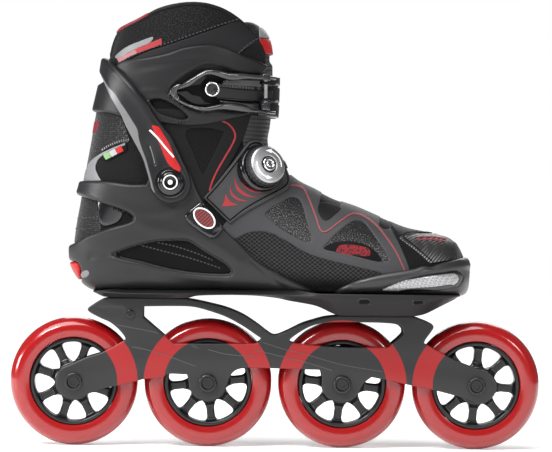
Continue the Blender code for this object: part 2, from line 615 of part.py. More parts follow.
def band_edge(line, lift):
    """A line across the boot from its heel to the tongue, moved up or down."""
    end = line[-1][1] + lift
    return [(x, z + lift) for x, z in line] + [(tongue_edge(end) - GAP / 2, end)]


def make_boot(finishes):
    """The soft boot, in the pieces that a flexing ankle needs."""
    slack = GAP / 2
    foot = band_edge(GUSSET_LOW, -slack)
    foot += [(TONGUE_LOW[0] - slack, TONGUE_LOW[1] - slack), (175, TONGUE_LOW[1] - slack), (175, 110),
             (-175, 110)]
    gusset = band_edge(GUSSET_LOW, slack) + band_edge(GUSSET_HIGH, -slack)[::-1]
    rim_end = RIM_OUTLINE[11]
    collar = band_edge(GUSSET_HIGH, slack) + [(tongue_edge(rim_end[1]) - slack, rim_end[1])]
    collar += list(reversed(RIM_OUTLINE[:11])) + [(-175, 303)]
    for name, outline in (("boot_upper", foot), ("ankle_gusset", gusset), ("boot_collar", collar)):
        node(layer(LINING, SKIN, prism(outline)), name, finishes["mesh_fabric"])
    low = TONGUE_LOW[1] + slack
    tongue = [(tongue_edge(low) + slack, low), (30, low), (30, 300)] + list(reversed(RIM_OUTLINE[11:-1]))
    tongue += [(tongue_edge(rim_end[1]) + slack, rim_end[1] + 0.5)]
    node(layer(LINING, SKIN, prism(tongue)), "tongue", finishes["mesh_fabric"])
    footbed = common(boot_solid(LINING - 0.5), box((-170.0, 160.0), (-60.0, 60.0), (120.0, FOOTBED_TOP)))
    node(footbed, "footbed", finishes["fabric"])


def make_cuff(boss_y, finishes):
    cuff = layer(SHELL_INNER, SHELL_OUTER, prism(CUFF_OUTLINE))
    node(cuff, "cuff", finishes["cuff"])
    yoke = layer(ARM_INNER, ARM_OUTER, prism(YOKE_OUTLINE))
    inner_y = boss_y + 0.5
    outer_y = inner_y + LUG_THICKNESS
    axle_line = (PIVOT[0], 0.0, PIVOT[1])
    cut(yoke, cylinder(LUG_RADIUS + 0.6, -inner_y, inner_y, axle_line, segments=24))
    for sign in (-1.0, 1.0):
        low, high = sorted((sign * inner_y, sign * outer_y))
        join(yoke, cylinder(LUG_RADIUS, low, high, axle_line, segments=24))
    cut(yoke, cylinder(PIVOT_HOLE_RADIUS, -REACH, REACH, axle_line, segments=12))
    node(yoke, "cuff_yoke", finishes["yoke"])
    inner_end = pivot_inner_y()
    for name, sign in (("pivot_bolt_outer", -1.0), ("pivot_bolt_inner", 1.0)):
        seat = outer_y + GAP
        face = seat + PIVOT_CAP_HEIGHT
        profile = ((0.0, inner_end), (PIVOT_BOLT_RADIUS, inner_end), (PIVOT_BOLT_RADIUS, seat),
                   (PIVOT_CAP_RADIUS, seat), (PIVOT_CAP_RADIUS, face - 0.8), (PIVOT_CAP_RADIUS - 1.0, face),
                   (0.0, face))
        bolt = lathe(profile, 20, axle_line, (0.0, sign, 0.0))
        node(bolt, name, finishes["black_steel"])
    face = outer_y + GAP + PIVOT_CAP_HEIGHT + GAP
    ring = lathe(((4.6, face), (6.6, face), (6.4, face + 0.8), (4.8, face + 0.8)), 20, axle_line,
                 (0.0, -1.0, 0.0))
    node(ring, "pivot_ring", finishes["steel"])


def pivot_inner_y():
    """Where the pivot bolts' shafts end, just clear of the soft boot."""
    reach = 0.0
    for x, z in circle(PIVOT, 4.5, 8):
        place, _ = surface_place(x, z, SHELL_INNER)
        reach = max(reach, -place.y)
    return reach + 0.3


def make_top_closure(finishes):
    """The strap round the front of the leg, its ladder and the lever buckle that grips it."""
    band = (CLOSURE_LOW, CLOSURE_HIGH)
    front = layer(SHELL_INNER, STRAP_OUTER, box((-20.6, 20.0), (-60.0, 60.0), band))
    side = layer(ARM_INNER, CLOSURE_OUTER, box((-62.0, -17.5), (0.0, 60.0), band))
    riser = layer(SHELL_INNER, CLOSURE_OUTER, box((-20.6, -17.0), (0.0, 60.0), band))
    node(join(front, riser, side), "closure_strap", finishes["cuff"])
    ladder = layer(LADDER_INNER, LADDER_OUTER, prism(LADDER_OUTLINE, -60.0, 0.0))
    node(ladder, "ladder_strap", finishes["gloss_plastic"])
    pin_place, _ = surface_place(BUCKLE_PIN_X, 276.5, BUCKLE_PIN_OFFSET)
    pin_x, pin_y = pin_place.x, pin_place.y
    base = layer(STRAP_OUTER + GAP, BUCKLE_BASE_OUTER, prism(BASE_OUTLINE, -60.0, 8.0))
    inner_place, _ = surface_place(BUCKLE_PIN_X, 276.5, 3.6)
    for low, high in BUCKLE_CHEEKS:
        outwards = Vector((pin_x - inner_place.x, pin_y - inner_place.y)).normalized()
        side = Vector((-outwards.y, outwards.x)) * CHEEK_HALF_WIDTH
        ends = (Vector((inner_place.x, inner_place.y)), Vector((pin_x, pin_y)) + outwards * 3.0)
        corners = [ends[0] + side, ends[1] + side, ends[1] - side, ends[0] - side]
        cheek = mesh_object("cheek", [(c.x, c.y, z) for z in (low, high) for c in corners],
                            [(0, 1, 2, 3), (7, 6, 5, 4), (0, 4, 5, 1), (1, 5, 6, 2), (2, 6, 7, 3),
                             (3, 7, 4, 0)])
        join(base, cheek)
    cut(base, cylinder(BUCKLE_HOLE_RADIUS, 250.0, 300.0, (pin_x, pin_y, 0.0), (0.0, 0.0, 1.0), 12))
    cut(base, boot_solid(STRAP_OUTER + GAP))
    node(base, "buckle_base", finishes["gloss_plastic"])
    steps = [layer(inner, outer, box((start, end), (-70.0, 0.0), (256.0 - inner, 292.0 + inner)))
             for inner, outer, start, end in LEVER_STEPS]
    lever = common(join(*steps), prism(LEVER_OUTLINE, -70.0, 10.0))
    for low, high in LEVER_KNUCKLES:
        join(lever, cylinder(LEVER_KNUCKLE_RADIUS, low, high, (pin_x, pin_y, 0.0), (0.0, 0.0, 1.0), 16))
    cut(lever, cylinder(BUCKLE_HOLE_RADIUS, 250.0, 300.0, (pin_x, pin_y, 0.0), (0.0, 0.0, 1.0), 12))
    node(lever, "buckle_lever", finishes["gloss_plastic"])
    pin = cylinder(BUCKLE_PIN_RADIUS, BUCKLE_PIN_LOW, BUCKLE_PIN_HIGH, (pin_x, pin_y, 0.0),
                   (0.0, 0.0, 1.0), 12)
    node(pin, "buckle_pin", finishes["steel"])
    place, normal = surface_place(*LADDER_SCREW, 7.9)
    screw = cylinder(5.0, 0.2, 2.0, place, normal, 16)
    node(screw, "strap_screw", finishes["steel"])


def make_instep(finishes):
    strap = layer(SHELL_INNER, STRAP_OUTER, prism(STRAP_OUTLINE))
    node(strap, "instep_strap", finishes["strap"])
    for name, low, high in (("strap_anchor_outer", -REACH, 0.0), ("strap_anchor_inner", 0.0, REACH)):
        anchor = layer(SHELL_OUTER + GAP, SHELL_OUTER + 2.8, prism(ANCHOR_OUTLINE, low, high))
        node(anchor, name, finishes["gloss_plastic"])
    badge = layer(SHELL_OUTER + 3.1, SHELL_OUTER + 4.0, prism(badge_outline(), -REACH, 0.0))
    node(badge, "anchor_badge", finishes["red_plastic"])


def badge_outline():
    """An ellipse laid along the anchor."""
    long_x, long_z = 0.72, -0.69
    outline = []
    for i in range(20):
        angle = 2 * math.pi * i / 20
        a, b = 10.0 * math.cos(angle), 6.3 * math.sin(angle)
        outline.append((ANCHOR_BADGE_CENTRE[0] + a * long_x - b * long_z,
                        ANCHOR_BADGE_CENTRE[1] + a * long_z + b * long_x))
    return outline


def make_dial(finishes):
    place, normal = surface_place(*DIAL_PLACE, STRAP_OUTER + GAP)
    axis = tuple(normal)
    well = SPOOL_RADIUS + 0.6
    base = lathe(((0.0, -14.0), (DIAL_BASE_RADIUS, -14.0), (DIAL_BASE_RADIUS, 3.4),
                  (DIAL_BASE_RADIUS - 1.5, 4.6), (well, 4.6), (well, 0.9), (0.0, 0.9)), 20, place, axis)
    cut(base, boot_solid(STRAP_OUTER + GAP))
    cut(base, box((-90.0, 90.0), (place.y + 14.0, 90.0), (150.0, 300.0)))
    node(base, "dial_base", finishes["gloss_plastic"])
    spool = lathe(((0.0, 1.2), (SPOOL_RADIUS, 1.2), (SPOOL_RADIUS, 4.4), (SPOOL_NECK_RADIUS, 4.4),
                   (SPOOL_NECK_RADIUS, 11.0), (0.0, 11.0)), 12, place, axis)
    node(spool, "dial_spool", finishes["steel"])
    bore = SPOOL_NECK_RADIUS + 0.4
    recess = DIAL_CAP_RADIUS + 0.4
    knob = lathe(((bore, 5.0), (DIAL_KNOB_RADIUS - 0.9, 5.0), (DIAL_KNOB_RADIUS, 6.2),
                  (DIAL_KNOB_RADIUS - 0.8, 12.4), (DIAL_KNOB_RADIUS - 3.0, 14.2), (recess, 14.2),
                  (recess, 11.4), (bore, 11.4)), 20, place, axis)
    node(knob, "dial_knob", finishes["gloss_rubber"])
    cap = cylinder(DIAL_CAP_RADIUS, 11.8, 15.0, place, axis, 14)
    node(cap, "dial_cap", finishes["steel"])


def make_lace_cable(finishes):
    """The lace that the dial pulls, run round the front of the instep over the strap."""
    route = bpy.data.curves.new("lace_cable", "CURVE")
    route.dimensions = "3D"
    line = route.splines.new("POLY")
    count = 14
    line.points.add(count - 1)
    for i in range(count):
        v = math.radians(-14.0 + 54.0 * i / (count - 1))
        u = 12.0 + 0.5 * math.sin(math.pi * i / (count - 1))
        spot = (boot_point(u, v) + boot_normal(u, v) * (STRAP_OUTER + GAP + CABLE_RADIUS + 0.3)) * MM
        line.points[i].co = (*spot, 1.0)
    route.bevel_depth = CABLE_RADIUS * MM
    route.bevel_resolution = 2
    route.use_fill_caps = True
    cable = bpy.data.objects.new("lace_cable", route)
    bpy.context.scene.collection.objects.link(cable)
    route.materials.append(finishes["gloss_rubber"])


def centre_across():
    """Moves the skate sideways, so that the origin lies under the middle of its width."""
    bpy.context.view_layer.update()
    corners = [(obj.matrix_world @ Vector(c)).y for obj in bpy.context.scene.objects for c in obj.bound_box]
    shift = -(min(corners) + max(corners)) / 2
    for obj in bpy.context.scene.objects:
        obj.location.y += shift


def finishes_by_name():
    return {
        "urethane": material("urethane", (0.63, 0.008, 0.010), 0.16),
        "hub": material("hub", (0.012, 0.012, 0.013), 0.28),
        "steel": material("steel", (0.62, 0.62, 0.63), 0.3, 1.0),
        "aluminium": material("aluminium", (0.7, 0.7, 0.72), 0.35, 1.0),
        "black_steel": material("black_steel", (0.02, 0.02, 0.022), 0.35, 0.6),
        "frame": material("frame", (0.035, 0.036, 0.038), 0.42, 0.3),
        "shell": material("shell", (0.03, 0.031, 0.033), 0.45),
        "red_plastic": material("red_plastic", (0.5, 0.012, 0.012), 0.4),
        "gloss_rubber": material("gloss_rubber", (0.012, 0.012, 0.012), 0.3),
        "carbon": material("carbon", (0.03, 0.03, 0.03), 0.2),
        "mesh_fabric": material("mesh_fabric", (0.018, 0.018, 0.019), 0.9),
        "fabric": material("fabric", (0.03, 0.03, 0.03), 0.95),
        "cuff": material("cuff", (0.03, 0.03, 0.032), 0.5),
        "yoke": material("yoke", (0.024, 0.024, 0.026), 0.4),
        "gloss_plastic": material("gloss_plastic", (0.014, 0.014, 0.015), 0.22),
        "strap": material("strap", (0.024, 0.024, 0.026), 0.55),
    }


def main():
    clear_scene()
    finishes = finishes_by_name()
    make_wheels(finishes)
    make_frame(finishes)
    make_frame_bolts(finishes)
    boss_y = pivot_boss_y()
    make_shell(boss_y, finishes)
    make_toe(finishes)
    make_boot(finishes)
    make_cuff(boss_y, finishes)
    make_top_closure(finishes)
    make_instep(finishes)
    make_dial(finishes)
    make_lace_cable(finishes)
    centre_across()


main()
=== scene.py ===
"""Looks of the inline skate: detailed meshes and procedural materials around the fixed CAD frame.

Outlines are side views, as (x, z) in millimetres; a third value of 1 marks a sharp corner. Most pieces
are reliefs: an area of a fine surface (the boot, a plate, a wheel's disc), cut along its outline, given
a thickness and a rounded edge. Meshes are written in metres.
"""

import json
import math

import bmesh
import bpy
import numpy as np
from mathutils import Matrix, Vector


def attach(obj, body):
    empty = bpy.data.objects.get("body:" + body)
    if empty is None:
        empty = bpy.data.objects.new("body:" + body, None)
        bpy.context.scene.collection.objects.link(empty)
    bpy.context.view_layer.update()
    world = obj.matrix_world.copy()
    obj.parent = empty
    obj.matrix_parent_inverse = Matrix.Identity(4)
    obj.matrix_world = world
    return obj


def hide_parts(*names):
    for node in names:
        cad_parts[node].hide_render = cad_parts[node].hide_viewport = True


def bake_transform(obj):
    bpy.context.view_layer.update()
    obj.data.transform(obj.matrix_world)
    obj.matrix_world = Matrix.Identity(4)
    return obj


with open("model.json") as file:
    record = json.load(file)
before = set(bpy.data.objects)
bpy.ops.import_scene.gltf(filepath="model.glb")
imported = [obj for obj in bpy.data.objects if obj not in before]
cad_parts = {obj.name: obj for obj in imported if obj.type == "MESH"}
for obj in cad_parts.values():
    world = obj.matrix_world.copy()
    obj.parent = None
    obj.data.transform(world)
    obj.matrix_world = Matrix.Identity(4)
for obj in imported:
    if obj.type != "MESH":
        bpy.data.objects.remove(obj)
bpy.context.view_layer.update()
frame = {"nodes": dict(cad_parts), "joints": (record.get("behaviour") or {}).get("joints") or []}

MM = 0.001
WHEEL_PITCH = 104.5
WHEEL_RADIUS = 50.0
WHEEL_CENTRES = tuple(((i - 1.5) * WHEEL_PITCH, WHEEL_RADIUS) for i in range(4))
SPOKE_ANGLES = (27.0, 6.0, -6.5, -4.5)
PIVOT = (-82.6, 205.3)
SIDES = (("outer", -1), ("inner", 1))
PLATE_FACE = 14.0        # the frame plates' inner faces, either side of the middle

# The boot's cross-sections, as in the CAD model, with one more that closes the nose:
# lower or back end (x, z), upper or front end (x, z), half width, widest place, squareness low and high
BOOT_SECTIONS = (
    (147.6, 137.6, 147.6, 138.4, 0.5, 0.50, 2.2, 2.2),
    (146.8, 129.0, 146.8, 147.0, 7.0, 0.50, 2.2, 2.2),
    (145.8, 125.0, 145.0, 151.5, 15.0, 0.48, 2.4, 2.2),
    (143.0, 122.8, 142.5, 156.5, 23.5, 0.44, 2.7, 2.2),
    (138.0, 121.9, 137.8, 163.0, 31.0, 0.40, 3.0, 2.3),
    (130.0, 121.6, 130.0, 166.6, 38.0, 0.37, 3.2, 2.3),
    (118.0, 121.5, 117.0, 168.9, 44.0, 0.35, 3.4, 2.3),
    (102.0, 121.5, 99.5, 172.5, 48.3, 0.33, 3.6, 2.3),
    (82.0, 121.5, 81.0, 180.0, 50.5, 0.32, 3.6, 2.2),
    (60.0, 121.5, 62.0, 188.0, 50.0, 0.32, 3.6, 2.1),
    (38.0, 121.6, 44.0, 194.0, 47.5, 0.33, 3.6, 2.0),
    (15.0, 122.0, 29.0, 201.5, 44.5, 0.34, 3.6, 2.0),
    (-8.0, 123.0, 16.0, 208.0, 42.0, 0.36, 3.6, 2.0),
    (-32.0, 124.0, 5.0, 217.0, 40.0, 0.38, 3.6, 2.0),
    (-56.0, 124.0, -3.5, 227.5, 38.8, 0.40, 3.6, 2.05),
    (-80.0, 124.0, -7.0, 238.5, 38.3, 0.41, 3.6, 2.1),
    (-103.0, 124.0, -5.5, 250.0, 38.3, 0.42, 3.4, 2.1),
    (-124.0, 124.0, -4.3, 262.0, 38.6, 0.42, 3.2, 2.15),
    (-142.0, 125.5, -4.0, 273.0, 39.0, 0.43, 2.8, 2.2),
    (-153.0, 135.0, -3.8, 283.0, 39.8, 0.44, 2.5, 2.2),
    (-157.8, 148.0, -3.8, 292.0, 41.0, 0.45, 2.3, 2.2),
    (-156.6, 168.0, -4.0, 300.0, 42.5, 0.46, 2.25, 2.2),
    (-153.0, 190.0, -4.5, 308.0, 44.0, 0.47, 2.2, 2.2),
    (-149.5, 212.0, -6.0, 316.0, 45.0, 0.48, 2.2, 2.2),
    (-145.5, 235.0, -9.0, 323.0, 46.0, 0.50, 2.2, 2.2),
    (-142.0, 257.0, -14.0, 329.0, 46.5, 0.50, 2.2, 2.2),
    (-137.0, 280.0, -18.0, 335.0, 46.5, 0.50, 2.2, 2.2),
    (-132.0, 303.0, -20.0, 344.0, 46.0, 0.50, 2.2, 2.2),
    (-128.0, 322.0, -22.0, 356.0, 45.5, 0.50, 2.2, 2.2),
    (-126.0, 340.0, -24.0, 370.0, 45.0, 0.50, 2.2, 2.2),
)
RINGS_PER_SECTION = 9
POINTS_PER_RING = 200


# ---------------------------------------------------------------- surfaces


class Surface:
    """A fine triangle mesh with normals, in millimetres, that reliefs are cut from."""

    def __init__(self, points, normals, tris):
        self.points = points
        self.normals = normals
        self.tris = tris


def grid_tris(rows, columns, wrap):
    """The triangles of a grid of points, row by row."""
    across = columns if wrap else columns - 1
    row, column = np.meshgrid(np.arange(rows - 1), np.arange(across), indexing="ij")
    following = (column + 1) % columns
    a, b = row * columns + column, row * columns + following
    c, d = (row + 1) * columns + following, (row + 1) * columns + column
    return np.concatenate([np.stack([a, b, c], -1).reshape(-1, 3), np.stack([a, c, d], -1).reshape(-1, 3)])


def smooth_rows(table, u):
    """Rows of a table read at fractional places, on a Catmull-Rom curve."""
    last = len(table) - 1
    i = np.clip(np.floor(u).astype(int), 0, last - 1)
    t = (u - i)[:, None]
    a, b = table[np.maximum(i - 1, 0)], table[i]
    c, d = table[i + 1], table[np.minimum(i + 2, last)]
    return 0.5 * (2 * b + (c - a) * t + (2 * a - 5 * b + 4 * c - d) * t**2 + (3 * b - a - 3 * c + d) * t**3)


def boot_points(u, angle):
    """Points of the soft boot's outer surface, for arrays of stations and of angles round a section."""
    back_x, back_z, front_x, front_z, half, widest, low, high = smooth_rows(np.array(BOOT_SECTIONS), u).T
    along, across = np.cos(angle), np.sin(angle)
    square = np.where(along >= 0.0, high, low)
    reach = (np.abs(along) ** square + np.abs(across) ** square) ** (-1.0 / square)
    s = widest + np.where(along >= 0.0, 1.0 - widest, widest) * along * reach
    return np.stack([back_x + (front_x - back_x) * s, half * across * reach,
                     back_z + (front_z - back_z) * s], -1)


def boot_surface():
    """The soft boot's whole outer surface as a fine closed grid."""
    rings = (len(BOOT_SECTIONS) - 1) * RINGS_PER_SECTION + 1
    u = np.linspace(0.0, len(BOOT_SECTIONS) - 1.0, rings)
    angle = np.linspace(0.0, 2 * math.pi, POINTS_PER_RING, endpoint=False)
    uu, aa = (g.reshape(-1) for g in np.meshgrid(u, angle, indexing="ij"))
    points = boot_points(uu, aa)
    return Surface(points, grid_normals(points, rings, POINTS_PER_RING),
                   grid_tris(rings, POINTS_PER_RING, True))


def grid_normals(points, rows, columns):
    """Outward normals of a closed-round grid whose rows run round it."""
    grid = points.reshape(rows, columns, 3)
    along = np.gradient(grid, axis=0)
    around = np.roll(grid, -1, 1) - np.roll(grid, 1, 1)
    normal = np.cross(around, along)
    normal /= np.linalg.norm(normal, axis=2, keepdims=True) + 1e-12
    outward = grid - grid.mean(1, keepdims=True)
    if (normal * outward).sum() < 0.0:
        normal = -normal
    return normal.reshape(-1, 3)


def plate_surface(x_range, z_range, y, side, step=1.1):
    """A flat grid across the skate at y, facing side (-1 outer, +1 inner)."""
    xs = np.arange(x_range[0], x_range[1] + step, step)
    zs = np.arange(z_range[0], z_range[1] + step, step)
    xx, zz = (g.reshape(-1) for g in np.meshgrid(xs, zs, indexing="ij"))
    points = np.stack([xx, np.full(len(xx), y), zz], -1)
    normals = np.tile((0.0, float(side), 0.0), (len(xx), 1))
    return Surface(points, normals, grid_tris(len(xs), len(zs), False))


def disc_surface(centre, radii, count, side):
    """A flat polar grid round a wheel's axle, facing side."""
    angle = np.linspace(0.0, 2 * math.pi, count, endpoint=False)
    rr, aa = (g.reshape(-1) for g in np.meshgrid(radii, angle, indexing="ij"))
    points = np.stack([centre[0] + rr * np.cos(aa), np.zeros(len(rr)), centre[1] + rr * np.sin(aa)], -1)
    normals = np.tile((0.0, float(side), 0.0), (len(rr), 1))
    return Surface(points, normals, grid_tris(len(radii), count, True))


# ---------------------------------------------------------------- outlines and areas


def curve(outline, closed=True, step=1.6):
    """A smooth line through the outline's points, with breaks at its sharp corners."""
    points = [np.array(p[:2], float) for p in outline]
    sharp = [len(p) > 2 for p in outline]
    count = len(points)
    if closed and any(sharp):
        first = sharp.index(True)
        points = points[first:] + points[:first] + [points[first]]
        sharp = sharp[first:] + sharp[:first] + [True]
        closed, count, ring = False, count + 1, True
    else:
        ring = closed
    line = []
    for i in range(count if closed else count - 1):
        b, c = points[i], points[(i + 1) % count]
        if closed:
            a, d = points[i - 1], points[(i + 2) % count]
        else:
            a = points[i - 1] if i > 0 and not sharp[i] else 2 * b - c
            d = points[i + 2] if i + 2 < count and not sharp[i + 1] else 2 * c - b
        length = np.linalg.norm(c - b)
        spans = max(1, int(length / step))
        before = length / (length + np.linalg.norm(b - a) + 1e-9)
        after = length / (length + np.linalg.norm(d - c) + 1e-9)
        slope_b, slope_c = (c - a) * before, (d - b) * after
        for t in np.arange(spans) / spans:
            line.append((2 * t**3 - 3 * t**2 + 1) * b + (t**3 - 2 * t**2 + t) * slope_b
                        + (3 * t**2 - 2 * t**3) * c + (t**3 - t**2) * slope_c)
    if not closed and not ring:
        line.append(points[-1])
    return np.array(line)


def line_distance(places, line, closed):
    """Each place's distance to a line, and how far along the line the nearest point lies."""
    ends = np.roll(line, -1, 0) if closed else line[1:]
    starts = line if closed else line[:-1]
    best = np.full(len(places), 1e9)
    along = np.zeros(len(places))
    travelled = 0.0
    for a, b in zip(starts, ends):
        span = b - a
        length = float(np.hypot(*span))
        if length < 1e-9:
            continue
        t = np.clip(((places - a) @ span) / length**2, 0.0, 1.0)
        offset = places - a - t[:, None] * span
        distance = np.einsum("ij,ij->i", offset, offset)
        nearer = distance < best
        best[nearer] = distance[nearer]
        along[nearer] = travelled + t[nearer] * length
        travelled += length
    return np.sqrt(best), along


def is_inside(places, line):
    """Whether each place lies inside a closed line, by crossings of a ray."""
    inside = np.zeros(len(places), bool)
    x, z = places[:, 0], places[:, 1]
    for (x0, z0), (x1, z1) in zip(line, np.roll(line, -1, 0)):
        if z0 == z1:
            continue
        crosses = (z0 > z) != (z1 > z)
        inside ^= crosses & (x < (x1 - x0) * (z - z0) / (z1 - z0) + x0)
    return inside


class Area:
    """A side-view area: a signed distance in millimetres, positive inside, and a box that holds it."""

    def __init__(self, distance, low, high):
        self.distance = distance
        self.low = np.array(low, float)
        self.high = np.array(high, float)

    def minus(self, *others):
        def distance(places):
            value = self.distance(places)
            for other in others:
                value = np.minimum(value, -other.distance(places))
            return value
        return Area(distance, self.low, self.high)

    def within(self, other):
        return Area(lambda p: np.minimum(self.distance(p), other.distance(p)),
                    np.maximum(self.low, other.low), np.minimum(self.high, other.high))

    def grown(self, amount):
        return Area(lambda p: self.distance(p) + amount, self.low - amount, self.high + amount)


def area(outline, smooth=True):
    """The area inside an outline."""
    line = curve(outline) if smooth else np.array([p[:2] for p in outline], float)

    def distance(places):
        away, _ = line_distance(places, line, True)
        return np.where(is_inside(places, line), away, -away)

    return Area(distance, line.min(0), line.max(0))


def stroke(points, width, smooth=True):
    """A line drawn with a pen of that width."""
    line = curve(points, closed=False) if smooth else np.array([p[:2] for p in points], float)
    return Area(lambda p: width / 2 - line_distance(p, line, closed=False)[0], line.min(0) - width,
                line.max(0) + width)


def stitches(points, width=0.9, length=2.2, gap=1.3):
    """A dashed line, as sewing thread shows on cloth."""
    line = curve(points, closed=False)

    def distance(places):
        away, along = line_distance(places, line, closed=False)
        phase = np.mod(along, length + gap)
        return np.minimum(width / 2 - away, length / 2 - np.abs(phase - length / 2))

    return Area(distance, line.min(0) - width, line.max(0) + width)


def ellipse(centre, a, b, direction):
    """An ellipse whose long axis points along direction."""
    axis = np.array(direction) / np.hypot(*direction)
    turns = np.linspace(0.0, 2 * math.pi, 48, endpoint=False)
    line = [(centre[0] + a * math.cos(t) * axis[0] - b * math.sin(t) * axis[1],
             centre[1] + a * math.cos(t) * axis[1] + b * math.sin(t) * axis[0]) for t in turns]
    return area(line, smooth=False)


def ease(value, start, end):
    """A smooth step from 0 at start to 1 at end."""
    t = np.clip((value - start) / (end - start), 0.0, 1.0)
    return t * t * (3 - 2 * t)


def ridge(points, width, height):
    """A soft raised line, or a groove if the height is negative, as an addition to a relief's height."""
    line = curve(points, closed=False, step=3.0)
    return lambda places: height * np.exp(-(line_distance(places, line, closed=False)[0] / width) ** 2)


# ---------------------------------------------------------------- meshes


def add_object(name, data):
    """Puts a mesh, curve, light or camera into the scene."""
    obj = bpy.data.objects.new(name, data)
    bpy.context.scene.collection.objects.link(obj)
    return obj


def object_from(name, points, tris, finish, sharp=50.0):
    """A mesh object from points in millimetres."""
    mesh = bpy.data.meshes.new(name)
    mesh.vertices.add(len(points))
    mesh.vertices.foreach_set("co", (np.asarray(points, float) * MM).astype(np.float32).reshape(-1))
    mesh.loops.add(len(tris) * 3)
    mesh.loops.foreach_set("vertex_index", np.asarray(tris, np.int32).reshape(-1))
    mesh.polygons.add(len(tris))
    mesh.polygons.foreach_set("loop_start", np.arange(0, len(tris) * 3, 3, dtype=np.int32))
    mesh.update(calc_edges=True)
    mesh.validate()
    mesh.materials.append(finish)
    mesh.shade_smooth()
    mesh.set_sharp_from_angle(angle=math.radians(sharp))
    return add_object(name, mesh)


def split_at(data, tris, column, level):
    """Cuts every triangle that crosses a level of one column, so that points lie on the level."""
    value = data[:, column] - level
    value[np.abs(value) < 1e-7] = 1e-7
    above = value > 0.0
    edges = np.concatenate([tris[:, [0, 1]], tris[:, [1, 2]], tris[:, [2, 0]]])
    crossing = above[edges[:, 0]] != above[edges[:, 1]]
    if not crossing.any():
        return data, tris
    keys, which = np.unique(np.sort(edges[crossing], axis=1), axis=0, return_inverse=True)
    share = (value[keys[:, 0]] / (value[keys[:, 0]] - value[keys[:, 1]]))[:, None]
    added = data[keys[:, 0]] * (1.0 - share) + data[keys[:, 1]] * share
    middle = np.full(len(edges), -1)
    middle[crossing] = len(data) + which.reshape(-1)
    middle = middle.reshape(3, -1).T
    cut = (middle >= 0).sum(1) == 2
    parts = [tris[~cut]]
    for lone in range(3):
        other, last = (lone + 1) % 3, (lone + 2) % 3
        chosen = cut & (middle[:, other] < 0)
        a, b, c = tris[chosen][:, lone], tris[chosen][:, other], tris[chosen][:, last]
        m, n = middle[chosen][:, lone], middle[chosen][:, last]
        parts += [np.stack([a, m, n], -1), np.stack([m, b, c], -1), np.stack([m, c, n], -1)]
    return np.vstack([data, added]), np.concatenate(parts)


def compact(data, tris):
    used, renumbered = np.unique(tris.reshape(-1), return_inverse=True)
    return data[used], renumbered.reshape(-1, 3)


def refine(data, tris, shape, size):
    """Quarters the triangles that an area touches, until their edges are no longer than size."""
    while True:
        corners = data[tris][:, :, :3]
        longest = np.linalg.norm(corners - np.roll(corners, 1, 1), axis=2).max(1)
        reach = shape.distance(data[:, [0, 2]])
        touched = reach[tris].max(1) > -longest
        tris = tris[touched]
        if not len(tris) or longest[touched].max() <= size:
            return compact(data, tris)
        edges = np.concatenate([tris[:, [0, 1]], tris[:, [1, 2]], tris[:, [2, 0]]])
        keys, which = np.unique(np.sort(edges, axis=1), axis=0, return_inverse=True)
        middle = (len(data) + which.reshape(3, -1)).T
        data = np.vstack([data, data[keys].mean(1)])
        a, b, c = tris.T
        ab, bc, ca = middle.T
        tris = np.concatenate([np.stack(t, -1) for t in ((a, ab, ca), (ab, b, bc), (ca, bc, c),
                                                         (ab, bc, ca))])


def relief(name, surface, shape, low, high, finish, edge=1.0, side=0, rolled=False, extra=(), steps=3,
           fine=0.0, over=(), warp=None):
    """A closed piece over an area of a surface, from height low to high, with a rounded edge.

    side is -1 for the outer half, +1 for the inner half and 0 for both. A rolled piece is rounded on its
    under side too. extra are functions of (x, z) that add to the upper height, and over to both heights.
    fine is the longest edge that a thin piece may have. warp(points, base, height) moves the finished faces.
    """
    flat = surface.points[:, [0, 2]]
    near = ((flat > shape.low - 3.0) & (flat < shape.high + 3.0)).all(1)
    if side:
        near &= surface.points[:, 1] * side > -3.0
    tris = surface.tris[near[surface.tris].all(1)]
    data = np.hstack([surface.points, surface.normals, np.zeros((len(surface.points), 1))])
    data, tris = compact(data, tris)
    if side:
        data, tris = split_at(data, tris, 1, 0.0)
        tris = tris[(data[tris][:, :, 1].mean(1) * side) > 0.0]
        data, tris = compact(data, tris)
    if fine:
        data, tris = refine(data, tris, shape, fine)
    data[:, 6] = shape.distance(data[:, [0, 2]])
    data, tris = split_at(data, tris, 6, 0.0)
    tris = tris[data[tris][:, :, 6].mean(1) > 0.0]
    if edge > 0.0:
        for k in range(1, steps + 1):
            data, tris = split_at(data, tris, 6, edge * (1.0 - math.cos(math.pi / 2 * k / steps)))
    data, tris = compact(data, tris)
    inside = np.clip(data[:, 6] / max(edge, 1e-6), 0.0, 1.0)
    drop = np.sqrt(np.clip(1.0 - (1.0 - inside) ** 2, 0.0, 1.0))
    thickness = (high - low) / (2.0 if rolled else 1.0)
    round_off = min(edge, thickness) * (1.0 - drop)
    top = high - round_off
    for add in extra:
        top = top + add(data[:, [0, 2]]) * inside
    top = np.maximum(top, low + 0.05)
    bottom = low + (round_off if rolled else np.zeros(len(data)))
    for add in over:
        lift = add(data[:, [0, 2]])
        top, bottom = top + lift, bottom + lift
    normals = data[:, 3:6] / (np.linalg.norm(data[:, 3:6], axis=1, keepdims=True) + 1e-12)
    upper = data[:, :3] + normals * top[:, None]
    lower = data[:, :3] + normals * bottom[:, None]
    if warp:
        upper, lower = warp(upper, data[:, :3], top), warp(lower, data[:, :3], bottom)
    return object_from(name, *closed_skin(upper, lower, tris, normals), finish)


